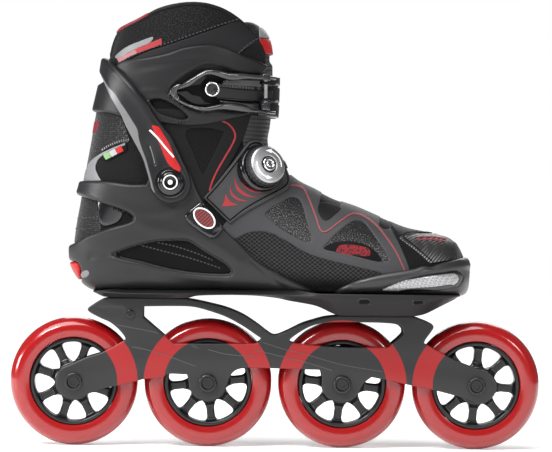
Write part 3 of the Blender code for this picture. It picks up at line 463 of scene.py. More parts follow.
def closed_skin(upper, lower, tris, normals):
    """Two copies of a triangle patch, joined along its border into a closed body facing out."""
    a, b, c = upper[tris[:, 0]], upper[tris[:, 1]], upper[tris[:, 2]]
    facing = (np.cross(b - a, c - a) * normals[tris].mean(1)).sum(1)
    if np.sum(facing) < 0.0:
        tris = tris[:, ::-1]
    count = len(upper)
    edges = np.concatenate([tris[:, [0, 1]], tris[:, [1, 2]], tris[:, [2, 0]]])
    keys = np.sort(edges, axis=1)
    _, first, times = np.unique(keys, axis=0, return_index=True, return_counts=True)
    border = edges[first[times == 1]]
    walls = np.concatenate([
        np.stack([border[:, 0], border[:, 0] + count, border[:, 1] + count], -1),
        np.stack([border[:, 0], border[:, 1] + count, border[:, 1]], -1)])
    return np.vstack([upper, lower]), np.concatenate([tris, tris[:, ::-1] + count, walls])


def fillet(profile, radius, steps=4, closed=False):
    """A 2-D polyline with its corners rounded."""
    points = [np.array(p, float) for p in profile]
    rounded = []
    count = len(points)
    for i, here in enumerate(points):
        if not closed and i in (0, count - 1):
            rounded.append(here)
            continue
        before, after = points[i - 1] - here, points[(i + 1) % count] - here
        reach = min(radius, 0.45 * np.linalg.norm(before), 0.45 * np.linalg.norm(after))
        start = here + before / (np.linalg.norm(before) + 1e-9) * reach
        end = here + after / (np.linalg.norm(after) + 1e-9) * reach
        for t in np.linspace(0.0, 1.0, steps + 1):
            rounded.append((1 - t) ** 2 * start + 2 * t * (1 - t) * here + t**2 * end)
    return rounded


def lathe(name, profile, finish, place, axis=(0.0, -1.0, 0.0), segments=96, closed=False, radius_at=None):
    """A profile of (radius, height) turned about an axis. radius_at(row, angle, radius) may shape it."""
    turn = Vector((0.0, 0.0, 1.0)).rotation_difference(Vector(axis).normalized()).to_matrix()
    turn = np.array(turn)
    rows = len(profile)
    angle = np.linspace(0.0, 2 * math.pi, segments, endpoint=False)
    points = np.zeros((rows, segments, 3))
    for i, (radius, height) in enumerate(profile):
        radii = np.full(segments, float(radius))
        if radius_at is not None:
            radii = radius_at(i, angle, radii)
        points[i, :, 0], points[i, :, 1] = radii * np.cos(angle), radii * np.sin(angle)
        points[i, :, 2] = height
    flat = points.reshape(-1, 3) @ turn.T + np.array(place)
    if closed:
        tris = grid_tris(rows + 1, segments, True) % (rows * segments)
    else:
        tris = grid_tris(rows, segments, True)
        ends = []
        for base, order in ((0, 1), ((rows - 1) * segments, -1)):
            ring = np.arange(1, segments - 1)
            fan = np.stack([np.full(segments - 2, base), base + ring + 1, base + ring], -1)
            ends.append(fan[:, ::order])
        tris = np.concatenate([tris] + ends)
    obj = object_from(name, flat, tris, finish, 40.0)
    clean(obj)
    return obj


def clean(obj):
    """Joins doubled points and turns the faces outwards."""
    shape = bmesh.new()
    shape.from_mesh(obj.data)
    bmesh.ops.remove_doubles(shape, verts=shape.verts, dist=1e-6)
    bmesh.ops.dissolve_degenerate(shape, edges=shape.edges, dist=1e-7)
    bmesh.ops.recalc_face_normals(shape, faces=shape.faces)
    shape.to_mesh(obj.data)
    shape.free()


def block(name, outline, y_range, finish, bevel=0.6):
    """A side-view outline extruded across the skate, with bevelled edges."""
    line = [p[:2] for p in outline]
    count = len(line)
    points = [(x, y, z) for y in y_range for x, z in line]
    shape = bmesh.new()
    verts = [shape.verts.new(Vector(p) * MM) for p in points]
    shape.faces.new(verts[:count])
    shape.faces.new(verts[:count - 1:-1])
    for i in range(count):
        j = (i + 1) % count
        shape.faces.new((verts[i], verts[j], verts[count + j], verts[count + i]))
    bmesh.ops.recalc_face_normals(shape, faces=shape.faces)
    bmesh.ops.bevel(shape, geom=list(shape.edges), offset=bevel * MM, segments=3, affect="EDGES",
                    clamp_overlap=True)
    mesh = bpy.data.meshes.new(name)
    shape.to_mesh(mesh)
    shape.free()
    mesh.materials.append(finish)
    mesh.shade_smooth()
    mesh.set_sharp_from_angle(angle=math.radians(35))
    return add_object(name, mesh)


def put(obj, body, slot, *nodes):
    """Rides a piece on its body and hides the CAD nodes that it stands for; the finish slot is not used."""
    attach(obj, body)
    if nodes:
        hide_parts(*nodes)
    return obj


def panel(name, surface, shape, low, high, finish, body="chassis", slot="mesh_fabric", **cut):
    """A layer on the boot, or a small piece on any surface, that stands for no CAD node."""
    put(relief(name, surface, shape, low, high, finish, **cut), body, slot)


def refinish(node, finish):
    """Gives a finish to a CAD node that shows as it is."""
    materials = frame["nodes"][node].data.materials
    materials.clear()
    materials.append(finish)


def bend(obj, slot, *nodes):
    """A soft piece with its transform baked in, attached to no body, that hides the CAD nodes it stands for.
    """
    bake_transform(obj)
    if nodes:
        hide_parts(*nodes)
    return obj


# ---------------------------------------------------------------- materials


def shader(name, colour, roughness, metallic=0.0, coat=0.0, coat_roughness=0.1):
    made = bpy.data.materials.new(name)
    made.use_nodes = True
    nodes, links = made.node_tree.nodes, made.node_tree.links
    main = nodes["Principled BSDF"]
    main.inputs["Base Color"].default_value = (*colour, 1.0)
    main.inputs["Roughness"].default_value = roughness
    main.inputs["Metallic"].default_value = metallic
    main.inputs["Coat Weight"].default_value = coat
    main.inputs["Coat Roughness"].default_value = coat_roughness
    return made, nodes, links, main


def node_of(nodes, kind, **values):
    """A new shader node, with values for its inputs or its settings."""
    made = nodes.new(kind)
    for key, value in values.items():
        if key in made.inputs:
            made.inputs[key].default_value = value
        else:
            setattr(made, key, value)
    return made


def math_node(nodes, links, operation, *values):
    """A maths node's result over sockets and plain numbers."""
    made = node_of(nodes, "ShaderNodeMath", operation=operation)
    for socket, value in zip(made.inputs, values):
        if isinstance(value, bpy.types.NodeSocket):
            links.new(value, socket)
        else:
            socket.default_value = value
    return made.outputs[0]


def bump_from(nodes, links, main, height, strength, distance):
    """Raises a surface by a pattern."""
    bump = node_of(nodes, "ShaderNodeBump", Strength=strength, Distance=distance)
    links.new(height, bump.inputs["Height"])
    links.new(bump.outputs["Normal"], main.inputs["Normal"])


def mottle(nodes, links, main, colour, amount, scale, rough, rough_amount):
    """Slow variation of the colour and of the roughness over a surface."""
    where = nodes.new("ShaderNodeTexCoord")
    noise = node_of(nodes, "ShaderNodeTexNoise", Scale=scale, Detail=5.0, Roughness=0.6)
    links.new(where.outputs["Object"], noise.inputs["Vector"])
    ramp = nodes.new("ShaderNodeMapRange")
    ramp.inputs["To Min"].default_value = rough - rough_amount
    ramp.inputs["To Max"].default_value = rough + rough_amount
    links.new(noise.outputs["Fac"], ramp.inputs["Value"])
    links.new(ramp.outputs["Result"], main.inputs["Roughness"])
    mix = nodes.new("ShaderNodeMix")
    mix.data_type = "RGBA"
    mix.inputs[6].default_value = (*[c * (1 - amount) for c in colour], 1.0)
    mix.inputs[7].default_value = (*[c * (1 + amount) for c in colour], 1.0)
    links.new(noise.outputs["Fac"], mix.inputs[0])
    links.new(mix.outputs[2], main.inputs["Base Color"])
    return where, mix


def grain_bump(nodes, links, main, where, scale, strength):
    """A fine moulded or blasted grain, 0.2 mm deep at full strength."""
    grain = node_of(nodes, "ShaderNodeTexNoise", Scale=scale, Detail=3.0, Roughness=0.55)
    links.new(where.outputs["Object"], grain.inputs["Vector"])
    bump_from(nodes, links, main, grain.outputs["Fac"], strength, 0.0002)


def plastic(name, colour, roughness, grain=0.25, coat=0.0, scale=1500.0, mottled=0.12, specular=0.4):
    """Moulded plastic: fine spark-eroded grain, with slow changes of colour and gloss."""
    made, nodes, links, main = shader(name, colour, roughness, coat=coat)
    main.inputs["Specular IOR Level"].default_value = specular
    where, _ = mottle(nodes, links, main, colour, mottled, 22.0, roughness, 0.05)
    grain_bump(nodes, links, main, where, scale, grain)
    return made


def metal(name, colour, roughness, brushed=True):
    """Brushed or polished metal."""
    made, nodes, links, main = shader(name, colour, roughness, metallic=1.0)
    where, _ = mottle(nodes, links, main, colour, 0.08, 60.0, roughness, 0.06)
    grain_bump(nodes, links, main, where, 900.0 if brushed else 300.0, 0.12)
    return made


def box_pattern(nodes, links, where, make):
    """A flat pattern laid on a solid from three sides, each showing where the surface faces it."""
    parts = nodes.new("ShaderNodeSeparateXYZ")
    links.new(where.outputs["Object"], parts.inputs[0])
    facing = nodes.new("ShaderNodeSeparateXYZ")
    links.new(where.outputs["Normal"], facing.inputs[0])
    total = 0.0
    for first, second, normal in ("XZY", "YZX", "XYZ"):
        flat = nodes.new("ShaderNodeCombineXYZ")
        links.new(parts.outputs[first], flat.inputs[0])
        links.new(parts.outputs[second], flat.inputs[1])
        size = math_node(nodes, links, "ABSOLUTE", facing.outputs[normal])
        weight = math_node(nodes, links, "POWER", size, 4.0)
        weighted = math_node(nodes, links, "MULTIPLY", make(flat.outputs[0]), weight)
        total = math_node(nodes, links, "ADD", total, weighted)
    return total


def two_tone(nodes, links, main, pattern, dark, light, edges, strength, distance):
    """Colours a surface dark to light between two levels of a pattern, and raises it by the same pattern."""
    ramp = nodes.new("ShaderNodeValToRGB")
    for stop, position, colour in zip(ramp.color_ramp.elements, edges, (dark, light)):
        stop.position = position
        stop.color = (*colour, 1.0)
    links.new(pattern, ramp.inputs[0])
    links.new(ramp.outputs[0], main.inputs["Base Color"])
    bump_from(nodes, links, main, pattern, strength, distance)


def knit(name, dark, light, cell, depth=0.6, randomness=0.25, stretch=(1.0, 1.0), turn=0.0):
    """Knitted mesh: staggered open cells between lighter yarns."""
    made, nodes, links, main = shader(name, dark, 0.85)
    main.inputs["Specular IOR Level"].default_value = 0.2
    main.inputs["Sheen Weight"].default_value = 0.1
    main.inputs["Sheen Roughness"].default_value = 0.4
    where = nodes.new("ShaderNodeTexCoord")

    def cells(vector):
        placed = nodes.new("ShaderNodeMapping")
        placed.inputs["Rotation"].default_value = (0.0, 0.0, math.radians(turn))
        placed.inputs["Scale"].default_value = (stretch[0], stretch[1], 1.0)
        links.new(vector, placed.inputs["Vector"])
        pattern = node_of(nodes, "ShaderNodeTexVoronoi", Scale=1.0 / cell, Randomness=randomness)
        pattern.voronoi_dimensions = "2D"
        links.new(placed.outputs[0], pattern.inputs["Vector"])
        return pattern.outputs["Distance"]

    pattern = box_pattern(nodes, links, where, cells)
    two_tone(nodes, links, main, pattern, dark, light, (0.22, 0.62), depth, 0.0006)
    return made


def striped(name, dark, light, pitch, turn):
    """Fine raised ribs, light on dark."""
    made, nodes, links, main = shader(name, dark, 0.5)
    where = nodes.new("ShaderNodeTexCoord")

    def bands(vector):
        placed = nodes.new("ShaderNodeMapping")
        placed.inputs["Rotation"].default_value = (0.0, 0.0, math.radians(turn))
        links.new(vector, placed.inputs["Vector"])
        wave = node_of(nodes, "ShaderNodeTexWave", Scale=math.pi / 10 / pitch, Distortion=0.4)
        wave.inputs["Detail Scale"].default_value = 200.0
        links.new(placed.outputs[0], wave.inputs["Vector"])
        return wave.outputs["Fac"]

    pattern = box_pattern(nodes, links, where, bands)
    two_tone(nodes, links, main, pattern, dark, light, (0.35, 0.65), 0.4, 0.0005)
    return made


def carbon(name):
    """The toe's clear lens, coloured pale grey as a painted highlight streak, with a fine check under the
    gloss.
    """
    made, nodes, links, main = shader(name, (0.2, 0.2, 0.2), 0.3, coat=0.6, coat_roughness=0.08)
    where = nodes.new("ShaderNodeTexCoord")
    placed = nodes.new("ShaderNodeMapping")
    placed.inputs["Rotation"].default_value = (0.0, math.radians(20), 0.0)
    links.new(where.outputs["Object"], placed.inputs["Vector"])
    # Pale grey checks: the lens's painted highlight streak, with the check as its pattern.
    checks = node_of(nodes, "ShaderNodeTexChecker", Scale=640.0)
    checks.inputs["Color1"].default_value = (0.38, 0.38, 0.39, 1.0)
    checks.inputs["Color2"].default_value = (0.22, 0.22, 0.225, 1.0)
    links.new(placed.outputs[0], checks.inputs["Vector"])
    links.new(checks.outputs["Color"], main.inputs["Base Color"])
    bump_from(nodes, links, main, checks.outputs["Fac"], 0.06, 0.0003)
    main.inputs["Metallic"].default_value = 0.25
    return made


def urethane(name):
    """Poured urethane: clear deep red, glossy, with slow mottling of colour and gloss."""
    colour = (0.27, 0.004, 0.005)
    made, nodes, links, main = shader(name, colour, 0.24, coat=0.5, coat_roughness=0.05)
    main.inputs["Subsurface Weight"].default_value = 0.25
    main.inputs["Subsurface Radius"].default_value = (0.012, 0.002, 0.002)
    main.inputs["Subsurface Scale"].default_value = 0.4
    mottle(nodes, links, main, colour, 0.06, 30.0, 0.2, 0.03)
    return made


def ring_mask(nodes, links, where, radius_low, radius_high):
    """1 where a side view shows a point inside the tyre's band round any of the axles."""
    parts = nodes.new("ShaderNodeSeparateXYZ")
    links.new(where.outputs["Object"], parts.inputs[0])
    middle, half = (radius_low + radius_high) / 2 * MM, (radius_high - radius_low) / 2 * MM
    total = 0.0
    for place in WHEEL_CENTRES:
        legs = []
        for axis, centre in zip("XZ", place):
            leg = math_node(nodes, links, "SUBTRACT", parts.outputs[axis], centre * MM)
            legs.append(math_node(nodes, links, "POWER", leg, 2.0))
        away = math_node(nodes, links, "SQRT", math_node(nodes, links, "ADD", *legs))
        band = math_node(nodes, links, "COMPARE", away, middle, half)
        total = math_node(nodes, links, "MAXIMUM", total, band)
    return total


def frame_finish(name):
    """Satin black anodised aluminium, with a red band where the plates pass over each tyre."""
    colour = (0.011, 0.011, 0.012)
    made, nodes, links, main = shader(name, colour, 0.45)
    where, mix = mottle(nodes, links, main, colour, 0.15, 25.0, 0.45, 0.05)
    grain_bump(nodes, links, main, where, 1600.0, 0.15)
    band = nodes.new("ShaderNodeMix")
    band.data_type = "RGBA"
    band.inputs[7].default_value = (0.26, 0.004, 0.005, 1.0)
    links.new(ring_mask(nodes, links, where, 34.2, WHEEL_RADIUS), band.inputs[0])
    links.new(mix.outputs[2], band.inputs[6])
    links.new(band.outputs[2], main.inputs["Base Color"])
    return made


def make_finishes():
    """Every finish by name; colours are linear, as Blender takes them."""
    return {
        "urethane": urethane("urethane"),
        "hub": plastic("hub", (0.005, 0.005, 0.006), 0.3, 0.1, coat=0.2),
        "frame": frame_finish("frame"),
        "frame_plain": plastic("frame_plain", (0.010, 0.010, 0.011), 0.5, specular=0.3),
        "frame_line": plastic("frame_line", (0.055, 0.055, 0.059), 0.4),
        "shell": plastic("shell", (0.013, 0.013, 0.014), 0.42, 0.45, mottled=0.3, specular=0.32),
        "sole": plastic("sole", (0.010, 0.010, 0.011), 0.5, 0.45, mottled=0.3, specular=0.25),
        "cuff": plastic("cuff", (0.006, 0.006, 0.007), 0.45, 0.3, specular=0.3),
        "yoke": plastic("yoke", (0.007, 0.007, 0.008), 0.38, 0.2, specular=0.3),
        # Pale grey: a painted highlight along the yoke's rear edge.
        "yoke_painted_highlight": plastic("yoke_painted_highlight", (0.13, 0.13, 0.133), 0.35, 0.2),
        "gloss": plastic("gloss", (0.004, 0.004, 0.005), 0.16, 0.05, coat=0.5),
        "lever": plastic("lever", (0.022, 0.022, 0.024), 0.16, 0.05, coat=0.8),
        "rubber": plastic("rubber", (0.020, 0.020, 0.021), 0.36, 0.3, specular=0.4),
        "carbon": carbon("carbon"),
        "red": plastic("red", (0.36, 0.008, 0.009), 0.42, 0.2, specular=0.3),
        "badge": striped("badge", (0.02, 0.003, 0.003), (0.20, 0.008, 0.008), 0.0021, 48.0),
        "crimson": plastic("crimson", (0.15, 0.008, 0.016), 0.5, 0.3, specular=0.25),
        "red_line": plastic("red_line", (0.26, 0.022, 0.027), 0.5, 0.1, specular=0.25),
        "pink": plastic("pink", (0.20, 0.045, 0.053), 0.5, 0.1, specular=0.25),
        "pale_pink": plastic("pale_pink", (0.28, 0.11, 0.12), 0.5, 0.1, specular=0.25),
        # Near black with little shine: the colour of dark seams and backings, and painted shade in the
        # window, slots, notches and buckle recess.
        "black": plastic("black", (0.002, 0.002, 0.002), 0.6, 0.3, specular=0.1),
        "white": plastic("white", (0.70, 0.70, 0.70), 0.4, 0.1),
        "grey_line": plastic("grey_line", (0.16, 0.16, 0.165), 0.45, 0.2, specular=0.3),
        "pale": plastic("pale", (0.30, 0.30, 0.31), 0.45, 0.2, specular=0.3),
        "green": plastic("green", (0.14, 0.26, 0.10), 0.5, 0.1, specular=0.3),
        "tpu": plastic("tpu", (0.034, 0.034, 0.036), 0.6, 0.3, scale=900.0, specular=0.25),
        "tpu_dark": plastic("tpu_dark", (0.003, 0.003, 0.0035), 0.6, 0.3, specular=0.2),
        "panel": plastic("panel", (0.008, 0.008, 0.009), 0.65, 0.4, scale=900.0, specular=0.2),
        "strap": plastic("strap", (0.036, 0.036, 0.038), 0.6, 0.5, scale=700.0, specular=0.25),
        "thread": plastic("thread", (0.045, 0.045, 0.047), 0.7, 0.3, specular=0.2),
        "knit": knit("knit", (0.0003, 0.0003, 0.0003), (0.006, 0.006, 0.0065), 0.0014),
        "heel_knit": knit("heel_knit", (0.008, 0.008, 0.008), (0.085, 0.085, 0.088), 0.0015, randomness=0.5),
        "collar": knit("collar", (0.0003, 0.0003, 0.0003), (0.010, 0.010, 0.011), 0.0016, randomness=0.7),
        "hex": knit("hex", (0.0005, 0.0005, 0.0005), (0.030, 0.030, 0.031), 0.0024, depth=0.9,
                    randomness=0.08, stretch=(0.87, 1.1), turn=45.0),
        "spacer": knit("spacer", (0.004, 0.004, 0.004), (0.085, 0.085, 0.087), 0.0010, randomness=0.95),
        "red_knit": knit("red_knit", (0.20, 0.010, 0.016), (0.012, 0.012, 0.012), 0.0017, randomness=0.95),
        "lining": knit("lining", (0.004, 0.004, 0.004), (0.016, 0.016, 0.016), 0.0024, randomness=0.4),
        "toe_ribs": striped("toe_ribs", (0.012, 0.012, 0.012), (0.22, 0.22, 0.222), 0.0021, 40.0),
        "tongue_ribs": striped("tongue_ribs", (0.004, 0.004, 0.004), (0.026, 0.026, 0.027), 0.0032, 90.0),
        "dial_face": metal("dial_face", (0.44, 0.44, 0.45), 0.42),
        "bright": metal("bright", (0.80, 0.80, 0.81), 0.12, brushed=False),
        "dark_steel": metal("dark_steel", (0.05, 0.05, 0.052), 0.32),
        "steel": metal("steel", (0.60, 0.60, 0.61), 0.3),
    }


# ---------------------------------------------------------------- wheels


def make_wheel(number, centre, spoke_angle, finishes):
    """One wheel: tyre, core, bearings, spacer and the axle bolt that holds it."""
    body = f"wheel_{number}"
    place = (centre[0], 0.0, centre[1])
    tread = [(34.3, -10.0), (34.9, -11.2), (36.5, -11.7), (40.5, -11.9), (44.2, -11.2), (46.9, -9.0),
             (48.7, -5.9), (49.7, -3.0), (50.0, 0.0)]
    tread += [(r, -y) for r, y in reversed(tread[:-1])]
    smooth = curve(tread, closed=False, step=0.9)
    tyre = lathe(f"tread_{number}", smooth, finishes["urethane"], place, segments=144, closed=True)
    put(tyre, body, "urethane", f"tyre_{number}")
    make_core(number, centre, math.radians(spoke_angle), finishes)
    for side in ("outer", "inner"):
        refinish(f"bearing_{side}_{number}", finishes["steel"])
    make_axle(number, place, finishes)


def core_height(radius):
    """Half the core's thickness at a radius: thick at the bearings and the rim, waisted along the spokes."""
    return 5.6 + 6.2 * ease(radius, 18.0, 14.0) + 3.9 * ease(radius, 28.5, 31.5)


def make_core(number, centre, turn, finishes):
    """The eight-spoke core: rim, spokes and bearing seat flow into each other."""
    radii = np.concatenate([np.linspace(11.1, 14.5, 6), np.linspace(15.3, 29.0, 16),
                            np.linspace(29.8, 34.2, 8)])

    def distance(places):
        offset = places - np.array(centre)
        radius = np.hypot(offset[:, 0], offset[:, 1])
        angle = np.arctan2(offset[:, 1], offset[:, 0]) - turn
        spread = math.pi / 4
        nearest = angle - spread * np.round(angle / spread)
        across = np.abs(radius * np.sin(nearest))
        flare = 3.1 + 1.8 * np.clip((radius - 25.5) / 6.0, 0.0, 1.0) ** 2
        flare = flare + 1.6 * np.clip((20.0 - radius) / 5.0, 0.0, 1.0)
        parts = np.stack([flare - across, radius - 30.6, 14.2 - radius])
        sharpness = 1.1
        return sharpness * np.log(np.exp(parts / sharpness).sum(0))

    shape = Area(distance, np.array(centre) - 36.0, np.array(centre) + 36.0)
    surface = disc_surface(centre, radii, 216, -1)
    data = np.hstack([surface.points, np.zeros((len(surface.points), 1))])
    data[:, 3] = shape.distance(data[:, [0, 2]])
    data, tris = split_at(data, surface.tris, 3, 0.0)
    tris = tris[data[tris][:, :, 3].mean(1) > 0.0]
    edge = 1.3
    for k in (1, 2, 3):
        data, tris = split_at(data, tris, 3, edge * (1.0 - math.cos(math.pi / 2 * k / 3)))
    data, tris = compact(data, tris)
    radius = np.hypot(data[:, 0] - centre[0], data[:, 2] - centre[1])
    half = core_height(radius)
    inside = np.clip(data[:, 3] / edge, 0.0, 1.0)
    half = half - edge * (1.0 - np.sqrt(1.0 - (1.0 - inside) ** 2))
    half = half - 0.7 * np.clip((radius - 33.4) / 0.8, 0.0, 1.0)
    upper, lower = data[:, :3].copy(), data[:, :3].copy()
    upper[:, 1] = -half
    lower[:, 1] = half
    normals = np.tile((0.0, -1.0, 0.0), (len(data), 1))
    core = object_from(f"core_{number}", *closed_skin(upper, lower, tris, normals), finishes["hub"], 55.0)
    put(core, f"wheel_{number}", "hub", f"hub_{number}")
    collar = fillet([(8.6, -4.9), (11.25, -4.9), (11.25, 4.9), (8.6, 4.9)], 0.4, closed=True)
    seat = lathe(f"bearing_seat_{number}", collar, finishes["hub"], (centre[0], 0.0, centre[1]),
                 segments=48, closed=True)
    put(seat, f"wheel_{number}", "hub")
    refinish(f"bearing_spacer_{number}", finishes["steel"])


def hexagon(across, angle):
    """The radius of a hexagon at an angle, from half its width across the flats."""
    return across / np.cos(np.mod(angle, math.pi / 3) - math.pi / 6)


def make_axle(number, place, finishes):
    """A socket-head axle bolt through both plates."""
    face, seat = 20.6, 17.9
    rows = [(0.01, face - 2.6), (2.6, face - 2.6), (2.6, face - 1.3), (4.3, face - 1.3), (4.7, face - 0.9),
            (5.0, face - 0.1), (5.5, face), (6.2, face - 0.05), (6.7, face - 0.4), (6.85, face - 0.9),
            (6.85, seat), (4.0, seat), (4.0, -seat), (6.6, -seat), (6.85, -seat - 0.3), (6.85, -face + 0.6),
            (6.3, -face), (0.01, -face)]

    def socket(row, angle, radii):
        return hexagon(2.5, angle) if row in (1, 2) else radii

    bolt = lathe(f"axle_bolt_{number}", rows, finishes["dark_steel"], place, segments=72, radius_at=socket)
    put(bolt, "chassis", "black_steel", f"axle_{number}")


# ---------------------------------------------------------------- frame


FRAME_OUTLINE = (
    (-146.5, 106), (-141, 111), (-135, 114.5), (-129.5, 115.7, 1), (-72, 115.7), (-62.5, 114.5),
    (-50.5, 112), (-38.5, 109), (-26, 104), (-14, 96.5), (-6, 90.5), (-0.5, 87.8), (8.5, 91), (20.5, 97),
    (31, 100.5), (38.5, 102.5), (48, 103.7, 1), (107, 103.7, 1), (113.5, 101.5), (121.5, 98), (123, 95),
    (121.5, 92.5), (116.5, 85.5), (115.5, 83, 1), (139, 70.5), (152.5, 65), (163, 62), (169, 58.5),
    (173, 51), (170.5, 43), (163.5, 36.8), (157, 36.6), (150.5, 39.3), (141.5, 42), (125.5, 46),
    (103, 50.5), (86, 54), (75, 56, 1), (70, 52), (67, 47.5), (64, 41.5), (58.5, 37.4), (51.5, 36.4),
    (43, 38.2), (38, 43), (36.5, 49), (36.3, 56.5), (35, 61.2, 1), (20, 61.5), (-22, 62), (-30, 60.5),
    (-34, 57), (-36.5, 51), (-40, 43.5), (-44.5, 39), (-53, 36.6), (-61, 38.3), (-66, 44.5), (-67.5, 52),
    (-68.5, 56.5, 1), (-84, 56.5), (-86.5, 53.5, 1), (-102, 52.5), (-107, 51), (-123.5, 47), (-134, 44.5),
    (-147, 39.8), (-157, 36.4), (-167, 40.5), (-170.6, 50), (-167, 59.6), (-157.5, 64.2), (-147, 69),
    (-135, 73), (-116.5, 83, 1), (-117.2, 85.2), (-122.5, 91.5), (-129, 96.5), (-137, 100),
)
FRAME_GAP_REAR = (
    (-103, 109, 1), (-76, 109.5), (-64, 109), (-51.5, 106), (-38.5, 101.5), (-26, 95), (-15.5, 88),
    (-11, 84.6), (-14, 81.8), (-25, 81, 1), (-79, 80.5, 1), (-87, 87), (-103, 100.5, 1),
)
FRAME_GAP_FRONT = (
    (10.8, 84), (21.5, 92), (30, 96), (40, 98), (71.5, 98.5), (88.5, 98), (94.5, 97), (99, 93.5),
    (99.3, 90.5), (90, 81.5), (88, 79.5, 1), (50, 79.2), (13.5, 82),
)


def make_frame(finishes):
    """The frame's two plates with their milled lines, the decks and bridges between them, and its bolts."""
    outline = area(FRAME_OUTLINE).minus(area(FRAME_GAP_REAR), area(FRAME_GAP_FRONT))
    creases = (
        ((-124, 94.5), (-91.5, 88.5), (-76, 83.5), (-60, 77)),
        ((-111, 77.5), (-98.5, 75), (-79, 69), (-62, 63)),
        ((-9.5, 82), (6.5, 77), (24, 73), (52, 65.5), (83, 60.5)),
        ((-16, 76), (0, 72.5), (20, 68), (44, 61)),
        ((-52, 76), (-37, 72.5), (-14, 71)),
    )
    pocket = area(((-139, 108), (-118, 108), (-118, 101.5), (-133, 103)))
    sink = lambda places: -0.35 * np.clip(pocket.distance(places) / 0.8, 0.0, 1.0)
    swell = ridge(((-160, 51), (-130, 60), (-100, 68), (-60, 68), (0, 70), (60, 62), (110, 57), (160, 51)),
                  9.0, 0.7)
    for name, side in SIDES:
        surface = plate_surface((-175.0, 175.0), (34.0, 118.0), side * PLATE_FACE, side)
        plate = relief(f"frame_{name}_plate", surface, outline, 0.0, 3.1, finishes["frame"], edge=1.0,
                       extra=(sink, swell))
        put(plate, "chassis", "frame")
        for number, line in enumerate(creases):
            crease = relief(f"frame_crease_{number}_{name}", surface,
                            stroke(line, 0.7).within(outline.grown(-1.5)), 2.9, 3.22, finishes["frame_line"],
                            edge=0.25, fine=0.6, over=(swell,))
            put(crease, "chassis", "frame")
    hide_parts("frame")
    inside = (-PLATE_FACE - 0.1, PLATE_FACE + 0.1)
    decks = {
        "rear_deck": ((-130, 111), (-72, 111), (-72, 115.6), (-130, 115.6)),
        "front_deck": ((66, 99.4), (107, 99.4), (107, 103.6), (66, 103.6)),
        "rear_bridge": ((-107.5, 78), (-101.5, 78), (-101.5, 92), (-107.5, 92)),
        "middle_bridge": ((-3, 66), (3, 66), (3, 80), (-3, 80)),
        "front_bridge": ((101.5, 72), (107.5, 72), (107.5, 86), (101.5, 86)),
    }
    for name, outline_of in decks.items():
        put(block(name, outline_of, inside, finishes["frame_plain"], 0.7), "chassis", "frame")
    bolt_rows = [(0.01, 18.4), (1.7, 18.4), (1.7, 19.2), (2.6, 19.3), (3.1, 19.0), (3.3, 18.4), (3.3, 17.7),
                 (2.0, 17.7), (2.0, 14.6), (0.01, 14.6)]
    socket = lambda row, angle, radii: hexagon(1.5, angle) if row in (1, 2) else radii
    bolt = lathe("side_bolt", bolt_rows, finishes["dark_steel"], (-113.0, 0.0, 103.0), segments=36,
                 radius_at=socket)
    put(bolt, "chassis", "black_steel", "frame_side_bolt")
    for name, x, under, top in (("rear", -100.0, 110.7, 119.4), ("front", 95.0, 99.1, 114.9)):
        rows = [(0.01, under - 0.6), (2.4, under - 0.6), (2.4, under - 1.5), (5.6, under - 1.5),
                (6.4, under - 1.0), (6.5, under - 0.1), (4.0, under), (4.0, top), (0.01, top)]
        head = lathe(f"{name}_deck_bolt", rows, finishes["dark_steel"], (x, 0.0, 0.0), (0.0, 0.0, 1.0), 48)
        put(head, "chassis", "black_steel", f"{name}_mount_bolt")


# ---------------------------------------------------------------- shell and sole


SHELL_OUTLINE = (
    (-178, 112, 1), (52, 112, 1), (50, 120.9, 1), (40.5, 121.5), (30.5, 123.5), (20, 127.5), (10, 132),
    (0.5, 137), (-9, 141.5), (-18, 148), (-28.5, 158.5), (-40, 169), (-50, 180.5), (-58, 192), (-64, 204),
    (-67, 212), (-73, 218.5), (-82.7, 221), (-93, 218), (-99, 210), (-101, 203.8, 1), (-113.5, 203.5),
    (-126.5, 205), (-142.5, 206), (-155.5, 205.3), (-178, 204, 1), (-178, 197, 1), (-158.5, 197),
    (-153, 194.6), (-149, 193.5), (-131.5, 188), (-121, 184.5), (-113, 180.5), (-110.3, 177), (-115, 174),
    (-128, 170), (-139, 166), (-146.5, 162.5), (-158, 156), (-178, 150, 1),
)
SHELL_WINDOW = (
    (-127, 150), (-122.5, 152), (-111, 156.5), (-94.5, 160.5), (-85, 161.3), (-74, 161.5), (-67.5, 160.8),
    (-58, 155), (-48, 149), (-39.3, 144), (-35, 139.7), (-33.7, 137), (-35.3, 135.3), (-41.5, 134.7),
    (-55.5, 135), (-71.7, 136.5), (-88, 139.5), (-104, 143.5), (-120.5, 147),
)
HEEL_INSERT = ((-178, 129.7, 1), (-151.2, 129.7), (-149.8, 134), (-150.6, 140), (-153.2, 143.4),
               (-178, 143.4, 1))
SOLE_STATIONS = ((-142.0, 18.0, 119.8, 12.0), (-137.0, 23.0, 117.4, 15.0), (-131.0, 27.0, 116.0, 18.0),
                 (-110.0, 34.0, 116.0, 25.0), (-72.0, 38.5, 116.0, 28.0), (-60.5, 39.5, 118.0, 29.0),
                 (-39.0, 41.0, 118.8, 30.0), (-17.5, 43.0, 118.6, 31.0), (0.0, 45.0, 117.0, 32.0),
                 (10.0, 46.5, 115.0, 33.0), (30.0, 49.0, 111.5, 35.0), (42.0, 51.0, 106.4, 37.0),
                 (48.0, 51.7, 104.2, 38.0), (54.0, 52.2, 103.9, 38.5), (75.0, 53.3, 103.9, 39.0),
                 (100.0, 51.2, 103.9, 37.0), (107.0, 50.0, 104.2, 36.0), (115.0, 47.3, 105.9, 33.0),
                 (122.0, 44.0, 109.0, 29.0), (130.0, 39.0, 113.0, 24.0), (138.5, 31.0, 117.0, 17.0),
                 (142.5, 24.5, 119.6, 10.0))


